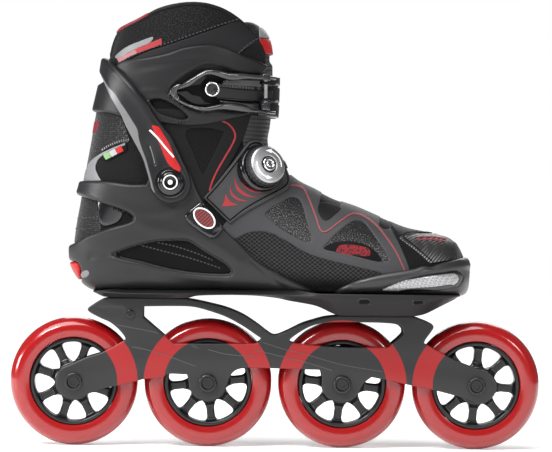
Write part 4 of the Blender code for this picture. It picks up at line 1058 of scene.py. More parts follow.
def sole_surface(boot):
    """The outside of the moulded sole, section by section from heel to toe.

    Behind the toe its side rises to meet the shell's, so that both read as one moulding.
    """
    stations = np.array(SOLE_STATIONS)
    rows = smooth_rows(stations, np.linspace(0.0, len(stations) - 1.0, len(stations) * 9))
    rim_z = 121.0
    side = boot.points[(np.abs(boot.points[:, 2] - 123.0) < 2.0) & (boot.points[:, 1] < 0.0)]
    flank_x = np.arange(-150.0, 50.0, 22.0)
    flank_y = np.array([3.6 - side[np.abs(side[:, 0] - x) < 12.0][:, 1].min() for x in flank_x])
    points = []
    for x, rim, low, half in rows:
        depth = rim_z - low
        merge = ease(x, 36.0, 8.0) * ease(x, -142.0, -112.0)
        wall = np.interp(x, flank_x, flank_y)
        top_z = rim_z + 3.0 * merge
        top = rim + (wall - rim) * merge
        waist = rim + (max(rim, wall - 0.5) - rim) * merge
        shoulder = rim_z - max(1.4, 0.34 * depth)
        section = [(0.0, top_z), (top - 0.5, top_z), (top, top_z - 0.5),
                   (waist - 0.1 * depth * 0.4, shoulder), (half + 0.22 * (waist - half), low + 0.16 * depth),
                   (half, low), (0.0, low)]
        line = fillet(section, min(4.0, 0.4 * depth), 5)
        line += [(-y, z) for y, z in reversed(line[1:-1])]
        points += [(x, y, z) for y, z in line]
    columns = len(points) // len(rows)
    points = np.array(points)
    return Surface(points, grid_normals(points, len(rows), columns),
                   grid_tris(len(rows), columns, True)), len(rows), columns


def make_shell(boot, finishes):
    """The moulded shell: cage, window, heel insert and pivot bosses."""
    insert = area(HEEL_INSERT)
    outline = area(SHELL_OUTLINE)
    window = area(SHELL_WINDOW)
    ripples = (
        ridge(((-110, 138), (-78, 132.5), (-45, 128)), 3.5, -0.9),
        ridge(((-141.5, 148.6), (-134, 148.8), (-127, 149.8)), 2.2, -1.6),
        ridge(((-19, 146), (-9, 138), (0, 131.5), (9, 127.5)), 1.1, -0.9),
        ridge(((-112, 176.5), (-95, 170), (-75, 166.5), (-60, 163.5), (-44, 156), (-28, 145)), 4.5, 0.9),
        ridge(((-150, 162), (-139, 165), (-124, 170), (-114, 174)), 2.4, 0.7),
        ridge(((-157, 198), (-148, 196.5), (-131, 191), (-116, 185), (-100, 181), (-80, 184)), 3.0, 0.6),
    )
    shell = relief("shell_cage", boot, outline.minus(window, insert.grown(0.4)), 0.3, 4.4,
                   finishes["shell"], edge=2.4, extra=ripples, steps=4)
    put(shell, "chassis", "shell", "shell")
    lip = relief("window_lip", boot, window.grown(1.6).minus(window.grown(-1.0)), 0.3, 2.2, finishes["shell"],
                 edge=0.9)
    put(lip, "chassis", "shell")
    # A flat black sheet inside the window: painted shade in the window's recess, over the knit.
    panel("window_painted_shade", boot, window.grown(1.2), 0.0, 0.5, finishes["black"], edge=0.3)
    for number, line in enumerate((((-104, 156.5), (-88, 152.5), (-66, 147), (-44, 140)),
                                   ((-92, 159), (-78, 156), (-62, 151), (-50, 146)))):
        panel(f"window_seam_{number}", boot, stitches(line, 0.9, 1.9, 1.0).within(window), 0.3, 0.9,
              finishes["thread"], edge=0.25, fine=0.6)
    heel = relief("heel_marker", boot, insert, 0.3, 4.6, finishes["red"], edge=1.4)
    put(heel, "chassis", "red_plastic", "heel_insert")
    # A pale grey ellipse beside the red insert: a painted highlight on the lit edge of the hollow there.
    gloss = relief("heel_recess_painted_highlight", boot, ellipse((-145.7, 135.6), 3.4, 2.4, (1.0, 0.5)), 4.2, 4.7,
                   finishes["grey_line"], edge=0.5)
    put(gloss, "chassis", "shell")
    for name, side in (("pivot_boss_outer", -1.0), ("pivot_boss_inner", 1.0)):
        rows = fillet([(4.5, 36.0), (15.2, 36.0), (15.2, boss_y() - 0.1), (4.5, boss_y() - 0.1)], 0.8,
                      closed=True)
        boss = lathe(name, rows, finishes["shell"], (PIVOT[0], 0.0, PIVOT[1]), (0.0, side, 0.0), 64,
                     closed=True)
        put(boss, "chassis", "shell")


def make_sole(boot, finishes):
    """The moulded sole, closed at both ends, with its slots."""
    surface, rows, columns = sole_surface(boot)
    ends = [np.arange(columns), (rows - 1) * columns + np.arange(columns)]
    caps = [np.stack([np.full(columns - 2, ring[0]), ring[1:-1], ring[2:]], -1) for ring in ends]
    sole = object_from("moulded_sole", surface.points, np.concatenate([surface.tris] + caps),
                       finishes["sole"], 60.0)
    clean(sole)
    put(sole, "chassis", "shell")
    for number, (x, z, length, height) in enumerate(((67.5, 115.2, 8.4, 3.2), (109.0, 115.0, 8.0, 2.6))):
        hole = stroke(((x - length / 2 + 1.6, z), (x + length / 2 - 1.6, z)), height, smooth=False)
        rim = stroke(((x - length / 2 + 1.0, z), (x + length / 2 - 1.0, z)), height + 2.4, smooth=False)
        for name, side in SIDES:
            panel(f"slot_rim_{number}_{name}", surface, rim.minus(hole), -0.4, 0.45, finishes["shell"],
                  slot="shell", edge=0.7, side=side)
            # A flat black patch in each slot, not a hole: painted shade for the slot's depth.
            panel(f"slot_{number}_{name}", surface, hole.grown(0.1), -0.2, 0.06, finishes["black"],
                  slot="shell", edge=0.1, side=side)


def boss_y():
    """How far out the shell's flat pivot bosses stand, from the CAD shell's width there."""
    cad = frame["nodes"]["shell"].data
    reach = [abs(v.co.y) for v in cad.vertices
             if math.hypot(v.co.x / MM - PIVOT[0], v.co.z / MM - PIVOT[1]) < 8.0]
    return max(reach) / MM


BUMPER_OUTLINE = ((42, 122.2, 1), (58.5, 130.6), (69.5, 134), (80, 136.5), (93.5, 139), (106, 141.3),
                  (112, 143.2), (118, 142.6), (124, 144.6), (131, 146.6), (142.5, 149), (160, 149, 1),
                  (160, 121.9, 1), (42, 121.9, 1))
TOE_TRIM = ((80.5, 127), (92.5, 131.6), (107.6, 135.1), (125.9, 137.9), (137.7, 139.2), (140.8, 135.3),
            (137.7, 129.9), (125.9, 127.6), (102.6, 126.6), (85.4, 126.2))
LENS_SHADE_UPPER = ((78.1, 126.8, 1), (84, 129.3), (94, 132), (106.1, 134.3), (118.3, 136), (128.5, 137.1),
                    (134.6, 137.2), (137.3, 134.9), (136.7, 131.7), (132.6, 129.4, 1), (137.7, 127.3, 1),
                    (145.9, 132.2, 1), (142.8, 141.2, 1), (118.3, 141.3, 1), (89.9, 134.6, 1))
LENS_SHADE_LOWER = ((82, 123.8, 1), (96, 127.9), (108.1, 129), (120.3, 129.6), (131.6, 130.6),
                    (135.1, 129.5), (138.7, 124.3, 1))


def make_toe(boot, finishes):
    """The rubber toe bumper, and a clear lens let into each of its sides."""
    lens = area(TOE_TRIM)
    rolls = (
        ridge(((60, 127), (83, 132), (110, 137.5), (132, 142.5), (150, 144)), 2.6, 0.8),
        lambda places: -0.9 * np.clip((lens.grown(1.4).distance(places)) / 1.4, 0.0, 1.0),
    )
    bumper = relief("bumper", boot, area(BUMPER_OUTLINE), 0.3, 4.0, finishes["rubber"], edge=3.0, extra=rolls,
                    steps=5)
    put(bumper, "chassis", "gloss_rubber", "toe_bumper")
    for name, side in SIDES:
        piece = relief(f"toe_lens_{name}", boot, lens, 2.6, 4.3, finishes["carbon"], edge=2.6, side=side,
                       steps=5)
        put(piece, "chassis", "carbon", f"toe_trim_{name}")
        # Dark gloss pieces over the lens's upper and lower parts leave its painted highlight streak between
        # them.
        for part, outline in (("upper", LENS_SHADE_UPPER), ("lower", LENS_SHADE_LOWER)):
            shade = relief(f"toe_lens_{part}_shade_{name}", boot, area(outline).within(lens.grown(-0.2)),
                           3.6, 4.5, finishes["gloss"], edge=0.5, side=side, steps=4, fine=1.0)
            put(shade, "chassis", "carbon")


# ---------------------------------------------------------------- soft boot


RIM = ((-178, 302, 1), (-133.5, 304), (-130.5, 312), (-127.5, 319), (-123.5, 324.5), (-117.5, 327.6),
       (-110, 331), (-102.5, 335), (-94, 339.3), (-83, 342.5), (-72, 344.2), (-63.7, 344.4), (-55, 343.6),
       (-44, 340.5), (-33.5, 335), (-24, 327.5), (-16, 318), (-10.5, 308), (-9, 298, 1))
BODY_FRONT = ((-22, 262), (-26, 240), (-22, 226), (-8, 218), (14, 216, 1))


def make_boot(boot, finishes):
    """The knitted boot from toe to collar, the padded tongue and the footbed."""
    outline = RIM + BODY_FRONT + ((180, 216, 1), (180, 105, 1), (-178, 105, 1))
    body = relief("boot_body", boot, area(outline), -6.0, 0.0, finishes["knit"], edge=2.8, rolled=True)
    bend(body, "mesh_fabric", "boot_upper", "ankle_gusset", "boot_collar")
    tongue_line = ((-40, 212, 1), (30, 212, 1), (30, 300, 1), (-3.5, 300), (-4.2, 310), (-5, 319), (-7, 324),
                   (-10.5, 328), (-14, 330.6), (-19.5, 332.2), (-27, 331), (-40, 326, 1))
    tongue = relief("tongue_pad", boot, area(tongue_line), -7.0, -0.7, finishes["tongue_ribs"], edge=3.0,
                    rolled=True)
    bend(tongue, "mesh_fabric", "tongue")
    refinish("footbed", finishes["lining"])


OVERLAY = (
    (-45.8, 166.1, 1), (-36, 179.8), (-20.2, 191.6), (-0.6, 202.5), (8.3, 212.3, 1), (18.1, 213.3, 1),
    (58.4, 195.6, 1), (89.9, 181.8, 1), (87.4, 173.9), (94.3, 159.2), (99.7, 146.9), (102.7, 137.6, 1),
    (81, 133.6, 1), (81, 136.8), (70.7, 139.7), (53.5, 143.7), (36.8, 147.6), (23.5, 152), (8.8, 160.2),
    (-1.5, 165.6), (-7, 167.4), (-12.4, 168.3), (-22.2, 167.1), (-34, 161.2, 1),
)
WINDOW_UPPER = (
    (-9.4, 181.8), (2.4, 190.7), (11.2, 194.9), (16.4, 193.6), (19.6, 187.7), (23, 174.9), (26.7, 163.6),
    (25.8, 160.6), (21.1, 161), (3.4, 170.5), (-5.5, 177.9),
)
WINDOW_LOWER = (
    (35.8, 155.9), (39.7, 160.7), (46.6, 168), (56.9, 175.9), (61.9, 177.5), (66.8, 176.1), (76.1, 163.6),
    (85.9, 148.4), (84.5, 146), (76.1, 146.4), (59.4, 150.4), (43.7, 153.6),
)
NOTCH_UPPER = (
    (32.9, 188.7), (34.8, 199.5, 1), (50.6, 195.6, 1), (47.6, 187.2), (39.7, 186.2),
)
PANEL_UPPER = (
    (30.9, 184.8), (33.4, 190.7), (44.7, 189.2), (49.6, 186.7), (44.7, 181.3), (37.8, 176.4), (34.3, 177.9),
)
NOTCH_LOWER = (
    (79.1, 173), (82, 185.7, 1), (90.9, 181.8, 1), (87.9, 172.5), (84, 170.5),
)
RED_PATCH = (
    (45.6, 151.9), (47.6, 157.7), (54.5, 158.8), (64.3, 157.8), (70.7, 155.6), (71.2, 150.7), (58.4, 150.9),
)
TOE_PANEL = (
    (93.7, 164.6, 1), (100.2, 167.8), (109.4, 167.8), (124.6, 168, 1), (144.1, 159.1, 1), (148.2, 150.1, 1),
    (130.8, 147.2, 1), (117.5, 145.3, 1), (109.4, 152.7),
)
PINSTRIPE = (
    (8.3, 203.4), (14.2, 203.4), (19.6, 201.5), (22.5, 197), (25.5, 190.2), (29.9, 178.9), (32.4, 171.5),
    (34.8, 168.3), (38.3, 168.7), (47.6, 175.4), (56.9, 181.5), (62.8, 181.8), (69.2, 178.9), (77.1, 172.5),
    (85, 162.6), (91.8, 152.3), (98.2, 139),
)


def make_upper_panels(boot, finishes):
    """Welded panels, lines and stitching on the foot part of the boot."""
    window_upper, window_lower = area(WINDOW_UPPER), area(WINDOW_LOWER)
    notch_upper, notch_lower = area(NOTCH_UPPER), area(NOTCH_LOWER)
    overlay = area(OVERLAY).minus(window_upper, window_lower, notch_upper, notch_lower)
    welt = (ridge(((-10, 170), (10, 163), (25, 155), (40, 149.5), (56, 145.5), (82, 138.5)), 1.0, 0.35),)
    panel("upper_panel", boot, overlay, 0.02, 1.0, finishes["tpu"], edge=0.8, extra=welt)
    panel("spacer_mesh_upper", boot, window_upper.grown(1.0), 0.0, 0.3, finishes["spacer"], edge=0.2)
    panel("spacer_mesh_lower", boot, window_lower.grown(1.0), 0.0, 0.3, finishes["spacer"], edge=0.2)
    lower_mesh = ((-44, 170, 1), (-30, 166), (-19, 169), (-6.5, 168.3), (9.5, 161), (24.5, 152.7),
                  (38, 148.2), (55, 144.2), (72.5, 140.2), (86, 136.5, 1), (86, 120, 1), (20, 120, 1),
                  (-10, 132, 1))
    panel("side_mesh", boot, area(lower_mesh), 0.0, 0.45, finishes["hex"], edge=0.3)
    panel("instep_patch", boot, area(PANEL_UPPER), 0.9, 1.2, finishes["tpu_dark"], edge=0.4)
    patch_back = area(((34, 153.5), (38, 158), (46, 161), (58, 161.5), (70, 158), (77, 152.5), (80, 146.5),
                       (60, 148.5)))
    panel("red_patch_back", boot, patch_back.within(window_lower.grown(0.5)), 0.1, 0.55, finishes["black"],
          edge=0.3, fine=1.0)
    panel("red_patch", boot, area(RED_PATCH).within(window_lower.grown(0.4)), 0.3, 0.8, finishes["red_knit"],
          slot="red_plastic", edge=0.3, fine=0.9)
    for number, notch in enumerate((notch_upper, notch_lower)):
        # Flat black sheets in the notches: painted shade, darker than the lit knit would be.
        panel(f"notch_painted_shade_{number}", boot, notch.grown(0.8), 0.0, 0.4, finishes["black"], edge=0.3)
    toe_panel = area(TOE_PANEL)
    panel("toe_ribbed_panel", boot, toe_panel, 0.0, 0.7, finishes["toe_ribs"], edge=0.5)
    toe_seam = ((119, 147), (112, 153), (103, 160.5), (97.2, 165.4), (100, 168.4), (112, 168.6), (127, 168.4))
    panel("toe_panel_edge", boot, stroke(toe_seam, 0.8), 0.4, 1.1, finishes["black"], edge=0.25, fine=0.7)
    vamp = ((84, 186, 1), (97, 182, 1), (134, 172, 1), (127, 168, 1), (112, 168), (97, 165.5), (91, 170))
    panel("vamp_band", boot, area(vamp), 0.02, 0.8, finishes["tpu_dark"], edge=0.6)
    for name, line, width in (("pinstripe", PINSTRIPE, 1.1),
                              ("toe_line_upper", ((107, 164.4), (120, 164.8), (131, 163.4)), 0.55),
                              ("toe_line_lower", ((109, 162.6), (120, 162.9), (130, 161.8)), 0.5)):
        panel(name, boot, stroke(line, width), 0.5, 1.6, finishes["pink"], slot="red_plastic", edge=0.25,
              fine=0.6)
    seams = (((-160, 176.5), (-140, 178), (-124, 181), (-110, 186)), ((-160, 169), (-148, 168.5)))
    low_heel = area(((-178, 200, 1), (-147, 200, 1), (-141, 192), (-138, 180), (-136, 168), (-138, 158, 1),
                     (-178, 158, 1)))
    panel("heel_low_mesh", boot, low_heel, 0.0, 0.35, finishes["heel_knit"], edge=0.2)
    liner = area(((-139, 192, 1), (-133, 190), (-125, 187), (-119, 182), (-122, 175), (-132, 171),
                  (-136, 173), (-138, 181)))
    panel("heel_liner", boot, liner, 0.2, 1.2, finishes["gloss"], edge=0.8, side=-1)
    for number, line in enumerate(seams):
        panel(f"heel_seam_{number}", boot, stitches(line, 0.9, 1.9, 1.0), 0.2, 0.8, finishes["thread"],
              edge=0.25, fine=0.6)


GREY_STRIPE = ((-126.5, 302.2), (-117.7, 309.3), (-106.9, 313.8), (-96.8, 317), (-98.4, 313.2),
               (-106.9, 309.1), (-116.7, 304.5), (-123.8, 300.4))
PALE_STRIPE = ((-124.8, 300.2), (-116.7, 304.3), (-110.8, 307.3, 1), (-108.8, 304.3, 1), (-114.7, 302),
               (-123, 297.6))
RED_STRIPE = ((-110.8, 307.3, 1), (-103.9, 310.3), (-98, 312.9), (-90.7, 315.9, 1), (-90, 311.4, 1),
              (-99, 307.9), (-108.8, 304.3, 1))


def make_leg_panels(boot, finishes):
    """Panels, lines and stitching on the ankle and the heel."""
    triangle = ((-71, 245), (-55, 247.5), (-42, 245, 1), (-49, 229), (-57.5, 211, 1), (-65, 229))
    field = ((-100, 262, 1), (-20, 262, 1), (-27, 240), (-36, 222), (-52, 196), (-60, 188, 1), (-68, 206),
             (-80, 235), (-92, 252))
    ankle = area(field).minus(area(triangle))
    bend(relief("ankle_panel", boot, ankle, 0.02, 1.0, finishes["tpu_dark"], edge=0.8), "mesh_fabric")
    bend(relief("ankle_mesh", boot, area(triangle).grown(1.0), 0.0, 0.3, finishes["knit"], edge=0.2),
         "mesh_fabric")
    line = ((-46, 254), (-39.5, 251.5), (-35.2, 247), (-33.5, 241.5), (-36, 234.5), (-41, 225.5),
            (-46.5, 215.5), (-50.5, 206.5), (-52.5, 199.5))
    bend(relief("ankle_pinstripe", boot, stroke(line, 1.4), 0.7, 1.6, finishes["red_line"], edge=0.25,
                fine=0.6), "red_plastic")
    heel = ((-178, 206, 1), (-150, 206, 1), (-147, 216), (-141, 224), (-131, 229.5), (-121, 233.5),
            (-114, 236, 1), (-118, 248), (-124, 262, 1), (-178, 262, 1))
    bend(relief("heel_panel", boot, area(heel), 0.0, 0.5, finishes["heel_knit"], edge=0.4), "mesh_fabric")
    flash = ((-150.7, 205.5, 1), (-149.2, 213.3), (-145.3, 220.7), (-137.4, 226.6), (-129.5, 230.6),
             (-122.6, 233.5), (-117.7, 235.3), (-117.2, 233.8), (-124.6, 230.9), (-132.5, 227.1),
             (-138.4, 222.7), (-140.8, 216.3), (-138.9, 210.9), (-135.9, 206, 1))
    bend(relief("heel_flash", boot, area(flash), 0.4, 1.1, finishes["grey_line"], edge=0.4, side=-1,
                fine=1.0), "mesh_fabric")
    tab = ((-135.8, 223, 1), (-134, 229.4), (-127, 233), (-119.6, 235.4), (-116.4, 233.5), (-116.4, 229.6),
           (-124, 225.4), (-131.4, 221.6))
    bend(relief("tab_back", boot, area(tab), 0.6, 1.0, finishes["black"], edge=0.3, side=-1, fine=1.0),
         "mesh_fabric")
    for number, (x, z, finish) in enumerate(((-131.2, 225.3, "green"), (-126.6, 227.6, "pale"),
                                             (-121.9, 230.0, "red"))):
        corners = []
        for along, across in ((-2.5, -2.3), (2.5, -2.3), (2.5, 2.3), (-2.5, 2.3)):
            corners.append((x + along * 0.88 - across * 0.47, z + along * 0.47 + across * 0.88, 1))
        bend(relief(f"tab_stripe_{number}", boot, area(corners), 0.8, 1.3, finishes[finish], edge=0.2,
                    side=-1, fine=0.8), "mesh_fabric")
    ridged_tab = ((-135.5, 230), (-129, 233.8), (-121.5, 236.6), (-114.5, 238))
    bend(relief("tab_stitch", boot, stitches(ridged_tab, 1.6, 0.9, 0.9), 0.4, 1.0, finishes["grey_line"],
                edge=0.25, side=-1, fine=0.6), "mesh_fabric")
    bend(relief("red_mark", boot, area(((-144.1, 243.4, 1), (-139.7, 245.4, 1), (-138.7, 252.4, 1),
                                        (-142.7, 252.4, 1))), 0.4, 0.9, finishes["crimson"], edge=0.3,
                fine=1.0), "red_plastic")


def make_collar_panels(boot, finishes):
    """Panels, lines and stitching on the padded collar, and the tongue's two patches."""
    rim = area(RIM + ((-9, 250, 1), (-178, 250, 1)))
    collar = ((-178, 290, 1), (-130, 296, 1), (-122, 296.5), (-103, 306.5), (-85, 312.5), (-63, 320.5),
              (-46, 327), (-30, 333, 1), (-20, 350, 1), (-178, 350, 1))
    panel("collar_mesh", boot, area(collar).within(rim.grown(-3.4)), 0.0, 0.7, finishes["collar"],
          body="cuff", edge=0.6)
    panel("collar_stitch", boot, stitches(((-124, 297.3), (-103, 306.6), (-85, 312.6), (-63, 320.6),
                                           (-46, 327.2), (-33, 332)), 0.9, 1.9, 1.0), 0.5, 1.1,
          finishes["thread"], body="cuff", edge=0.25, fine=0.6)
    lower_collar = ((-134, 284, 1), (-123, 295), (-103, 305), (-85, 311), (-63, 319), (-46, 325.5),
                    (-33, 330.5), (-24, 325), (-17, 316), (-26, 309.5), (-33, 303, 1), (-60, 296, 1),
                    (-120, 284, 1))
    panel("collar_panel", boot, area(lower_collar), 0.0, 0.8, finishes["panel"], body="cuff", edge=0.8)
    panel("collar_piping", boot, rim.minus(rim.grown(-3.2)).within(area(((-178, 303, 1), (-8, 303, 1),
                                                                         (-8, 360, 1), (-178, 360, 1)))),
          -2.4, 0.7, finishes["tpu_dark"], body="cuff", edge=1.4, rolled=True)
    red_trim = ((-125.5, 322.5), (-117, 327), (-109, 330.7), (-102, 334.6))
    panel("rim_trim", boot, stroke(red_trim, 2.4).within(rim), 0.2, 1.1, finishes["crimson"], body="cuff",
          slot="red_plastic", edge=0.4, fine=0.8)
    stripes = (
        ("collar_stripe_grey", GREY_STRIPE, "grey_line"),
        ("collar_stripe_pale", PALE_STRIPE, "pale_pink"),
        ("collar_stripe_red", RED_STRIPE, "red_line"),
    )
    for name, outline, finish in stripes:
        panel(name, boot, area(outline), 0.5, 1.1, finishes[finish], body="cuff", edge=0.25, fine=1.0)
    front_edge = ((-34, 303), (-27, 310), (-19, 316.5), (-14, 318.5))
    panel("collar_front_stitch", boot, stitches(front_edge, 0.9, 1.9, 1.0), 0.5, 1.1, finishes["thread"],
          body="cuff", edge=0.25, fine=0.6)
    front_mesh = ((-33, 303, 1), (-25, 309.5), (-17.5, 315), (-12.5, 309), (-10.5, 300), (-12, 292, 1),
                  (-30, 296, 1))
    panel("collar_front_mesh", boot, area(front_mesh), 0.0, 0.6, finishes["collar"], body="cuff", edge=0.4)
    for name, low, high, finish in (("tongue_label", 306.5, 318.0, "red"),
                                    ("tongue_patch", 319.0, 327.5, "grey_line")):
        strip = area(((-30, low, 1), (20, low, 1), (20, high, 1), (-30, high, 1)))
        front = area(((-13.5, 300, 1), (20, 300, 1), (20, 330, 1), (-15.5, 330, 1)))
        panel(name, boot, strip.within(front), -0.8, 0.1, finishes[finish], body="cuff", edge=0.5)


# ---------------------------------------------------------------- cuff, yoke and pivot


CUFF_OUTLINE = ((-178, 261, 1), (-144, 261), (-140, 259.6), (-129.5, 258.5), (-118.5, 255.5), (-104, 252.5),
                (-85, 250.5), (-73, 249.5), (-57, 250.5), (-41, 254), (-25, 258.5), (-20.5, 263),
                (-19.5, 274), (-17.5, 287), (-12, 294), (-10.3, 296.7), (-28.7, 304), (-40.5, 308.7),
                (-49.5, 311), (-58, 311), (-74, 308.5), (-85, 304.5), (-100, 301), (-120, 298), (-126, 292),
                (-131, 284, 1), (-137, 281), (-178, 280.5, 1))
CUFF_SLOT = (
    (-100.2, 268.6, 1), (-89.9, 268.9), (-79.1, 263.7), (-69.3, 255.8, 1), (-72.2, 254.2), (-83, 255.8),
    (-90.9, 258.8),
)
BUCKLE_RECESS = ((-86.1, 275.6), (-82.1, 282.5), (-73.3, 289.4), (-65.4, 294.3), (-55.6, 297.7),
                 (-43.8, 296.2), (-34, 292.3), (-10.4, 290.3, 1), (-10.4, 258.4, 1), (-25.1, 259.4),
                 (-44.8, 261.4), (-57.6, 259.9), (-69.4, 261.4), (-80.2, 267.3))
YOKE_OUTLINE = ((-176.1, 301.4, 1), (-134.6, 301.6), (-129.5, 300.4), (-125.5, 296.5), (-118.4, 289.6),
                (-108.5, 278.3), (-103.6, 271.6), (-98.7, 265.5), (-95.8, 260.2), (-91.9, 254),
                (-86.9, 247.1), (-82, 240.6), (-78.1, 232.8), (-72.6, 221.6), (-67.7, 210.7), (-66.4, 202.9),
                (-71.3, 193), (-81.8, 189), (-90.9, 191.9), (-97.2, 199.4), (-98.9, 205.3), (-101.5, 214.2),
                (-104.4, 224), (-108, 232.8), (-112.2, 241.6), (-115.6, 249), (-118.2, 255.9), (-122, 263.4),
                (-124.9, 268.9), (-127.3, 274.9), (-129.5, 279.5), (-132.6, 285), (-135.6, 289.4, 1),
                (-176.1, 290.9, 1))


def make_cuff(boot, finishes):
    """The cuff with its slot and the recess for the buckle, and the yoke over it."""
    recess = area(BUCKLE_RECESS)
    sunk = lambda places: -2.6 * ease(recess.distance(places), 0.0, 4.0)
    lines = (
        ridge(((-118, 290), (-95, 295), (-75, 298.5), (-58, 300.5), (-44, 299)), 2.5, -0.5),
        ridge(((-104, 274), (-92, 274.5), (-82, 271.5), (-70, 262), (-56, 257.5), (-38, 258.5)), 2.0, 0.7),
    )
    cuff = relief("cuff_shell", boot, area(CUFF_OUTLINE).minus(area(CUFF_SLOT)), 0.3, 4.2, finishes["cuff"],
                  edge=1.8, extra=lines + (sunk,), steps=4)
    put(cuff, "cuff", "cuff", "cuff")
    # A flat black sheet under the slot: painted shade in the opening.
    slot = relief("cuff_slot_painted_shade", boot, area(CUFF_SLOT).grown(0.5), 0.3, 0.9, finishes["black"], edge=0.2)
    put(slot, "cuff", "cuff")
    inner = boss_y() + 0.4
    outer = inner + 4.0
    make_yoke(boot, inner, finishes)
    make_pivots(inner, outer, finishes)


def make_yoke(boot, inner, finishes):
    """The arm from the pivot to the back of the cuff, with a pale band painted along its rear edge as a
    highlight and a pale stroke painted in its groove as a glint.
    """

    def flat_at_pivot(points, base, height):
        """Blends the arm into a flat lug that turns on the boss."""
        away = np.hypot(base[:, 0] - PIVOT[0], base[:, 2] - PIVOT[1])
        weight = ease(away, 40.0, 17.5)[:, None]
        level = inner + (height - 4.3) * 0.93
        lug = np.stack([base[:, 0], np.sign(base[:, 1]) * level, base[:, 2]], -1)
        return points * (1.0 - weight) + lug * weight

    band = area(((-133.1, 287.8), (-131, 283.9), (-128.7, 279.5), (-126.5, 274.8), (-124.1, 268.9),
                 (-121.2, 263.4), (-117.4, 255.9), (-114.8, 249), (-111.4, 241.6), (-107.3, 232.8),
                 (-103.6, 224), (-100.7, 214.2), (-98.1, 205.3), (-96.4, 198.5), (-94.8, 195.5, 1),
                 (-94.2, 197.5), (-95.8, 204.3), (-98, 213.2), (-100.7, 223), (-103, 230.8), (-104.9, 238.7),
                 (-105.8, 245.5), (-108.5, 250.8), (-113.7, 260.3), (-117.6, 266.7), (-120.9, 272.8),
                 (-125.9, 278.8), (-129.5, 284.3)))
    shaped = (
        lambda places: -0.5 * ease(band.distance(places), 0.0, 2.5),
        ridge(((-98.5, 234), (-96, 226), (-94.5, 219)), 1.2, -0.9),
        ridge(((-120, 288), (-106, 270), (-96, 252), (-86, 233), (-80, 219)), 4.0, 0.8),
        lambda places: -1.3 * ease(np.hypot(places[:, 0] - PIVOT[0], places[:, 1] - PIVOT[1]), 12.0, 10.4),
    )
    tuck = lambda places: -3.6 * ease(places[:, 0], -124.0, -138.0)
    hole = stroke((PIVOT, (PIVOT[0] + 0.01, PIVOT[1])), 9.6, smooth=False)
    arm = area(YOKE_OUTLINE).minus(hole)
    yoke = relief("yoke_arm", boot, arm, 4.3, 8.6, finishes["yoke"], edge=2.6, extra=shaped, steps=5,
                  fine=1.6, over=(tuck,), warp=flat_at_pivot)
    put(yoke, "cuff", "yoke", "cuff_yoke")
    # A pale grey band over the chamfer along the arm's rear edge: a painted highlight where light falls on
    # it.
    edge_band = relief("yoke_painted_highlight_band", boot, band.within(arm.grown(-0.7)), 7.2, 8.5, finishes["yoke_painted_highlight"],
                       edge=0.5, fine=1.2, over=(tuck,), warp=flat_at_pivot)
    put(edge_band, "cuff", "yoke")
    # A pale grey stroke along the groove: a painted glint.
    glint = relief("yoke_groove_glint", boot, stroke(((-98.2, 233), (-96.3, 226), (-94.8, 220)), 0.9), 6.8,
                   8.0, finishes["grey_line"], edge=0.3, fine=0.6, warp=flat_at_pivot)
    put(glint, "cuff", "yoke")
    decal = area(((-96.5, 249), (-94.7, 249), (-91.8, 248.4), (-87.9, 242), (-84.5, 236.1), (-78.6, 223.3),
                  (-74.6, 216.1), (-75.1, 213.5), (-81, 216.1), (-84.9, 220.4), (-87.4, 225.4), (-90.2, 232),
                  (-93.8, 241.6)))
    panel("yoke_decal", boot, decal, 8.4, 9.05, finishes["red"], body="cuff", slot="red_plastic", edge=0.3,
          fine=1.0, over=(shaped[2],), warp=flat_at_pivot)
    panel("yoke_decal_line", boot, stroke(((-97.5, 245), (-92.5, 239.5), (-87.5, 233), (-80.5, 225)), 1.5),
          8.6, 9.2, finishes["white"], body="cuff", slot="red_plastic", edge=0.3, fine=0.6,
          over=(shaped[2],), warp=flat_at_pivot)


def make_pivots(inner, outer, finishes):
    """The caps of the two pivot bolts over the yoke, whose lug lies between two widths."""
    for name, side in (("outer", -1.0), ("inner", 1.0)):
        axis = (0.0, side, 0.0)
        place = (PIVOT[0], 0.0, PIVOT[1])
        cap = fillet([(0.01, inner - 5.0), (4.1, inner - 5.0), (4.1, outer - 0.9), (9.9, outer - 0.9),
                      (9.9, outer - 0.1), (9.2, outer + 0.6), (7.4, outer + 0.7), (6.9, outer + 1.2),
                      (4.9, outer + 1.2), (4.6, outer + 0.3), (0.01, outer + 0.3)], 0.3)
        put(lathe(f"pivot_cap_{name}", cap, finishes["gloss"], place, axis, 72), "chassis", "black_steel",
            f"pivot_bolt_{name}")
        ring = fillet([(4.8, outer + 1.0), (5.8, outer + 1.0), (5.75, outer + 1.6), (4.85, outer + 1.6)], 0.2,
                      closed=True)
        nodes = ("pivot_ring",) if side < 0 else ()
        put(lathe(f"pivot_inlay_{name}", ring, finishes["white"], place, axis, 72, closed=True), "chassis",
            "steel", *nodes)
        dot = [(0.01, outer + 0.2), (1.9, outer + 0.2), (1.9, outer + 0.6), (1.5, outer + 0.9),
               (0.01, outer + 1.0)]
        put(lathe(f"pivot_dot_{name}", dot, finishes["white"], place, axis, 36), "chassis", "steel")


WING_UPPER = ((-79.6, 277.5, 1), (-73.2, 280.8), (-67.3, 285.2), (-60.5, 288.3), (-56.5, 287.5),
              (-60, 282.3), (-61, 281, 1), (-65.4, 280.3), (-71.3, 278.9), (-77.1, 277.1, 1))
WING_LOWER = ((-79.6, 275.5, 1), (-75.2, 275.4), (-71.3, 276.3), (-67.3, 273.5), (-61.5, 272.2, 1),
              (-60.5, 271.4, 1), (-57.5, 268.1), (-52.6, 266.7), (-59.5, 265.5), (-65.4, 265.7),
              (-70.3, 268.1), (-74.2, 271.5), (-79.6, 274.2, 1))


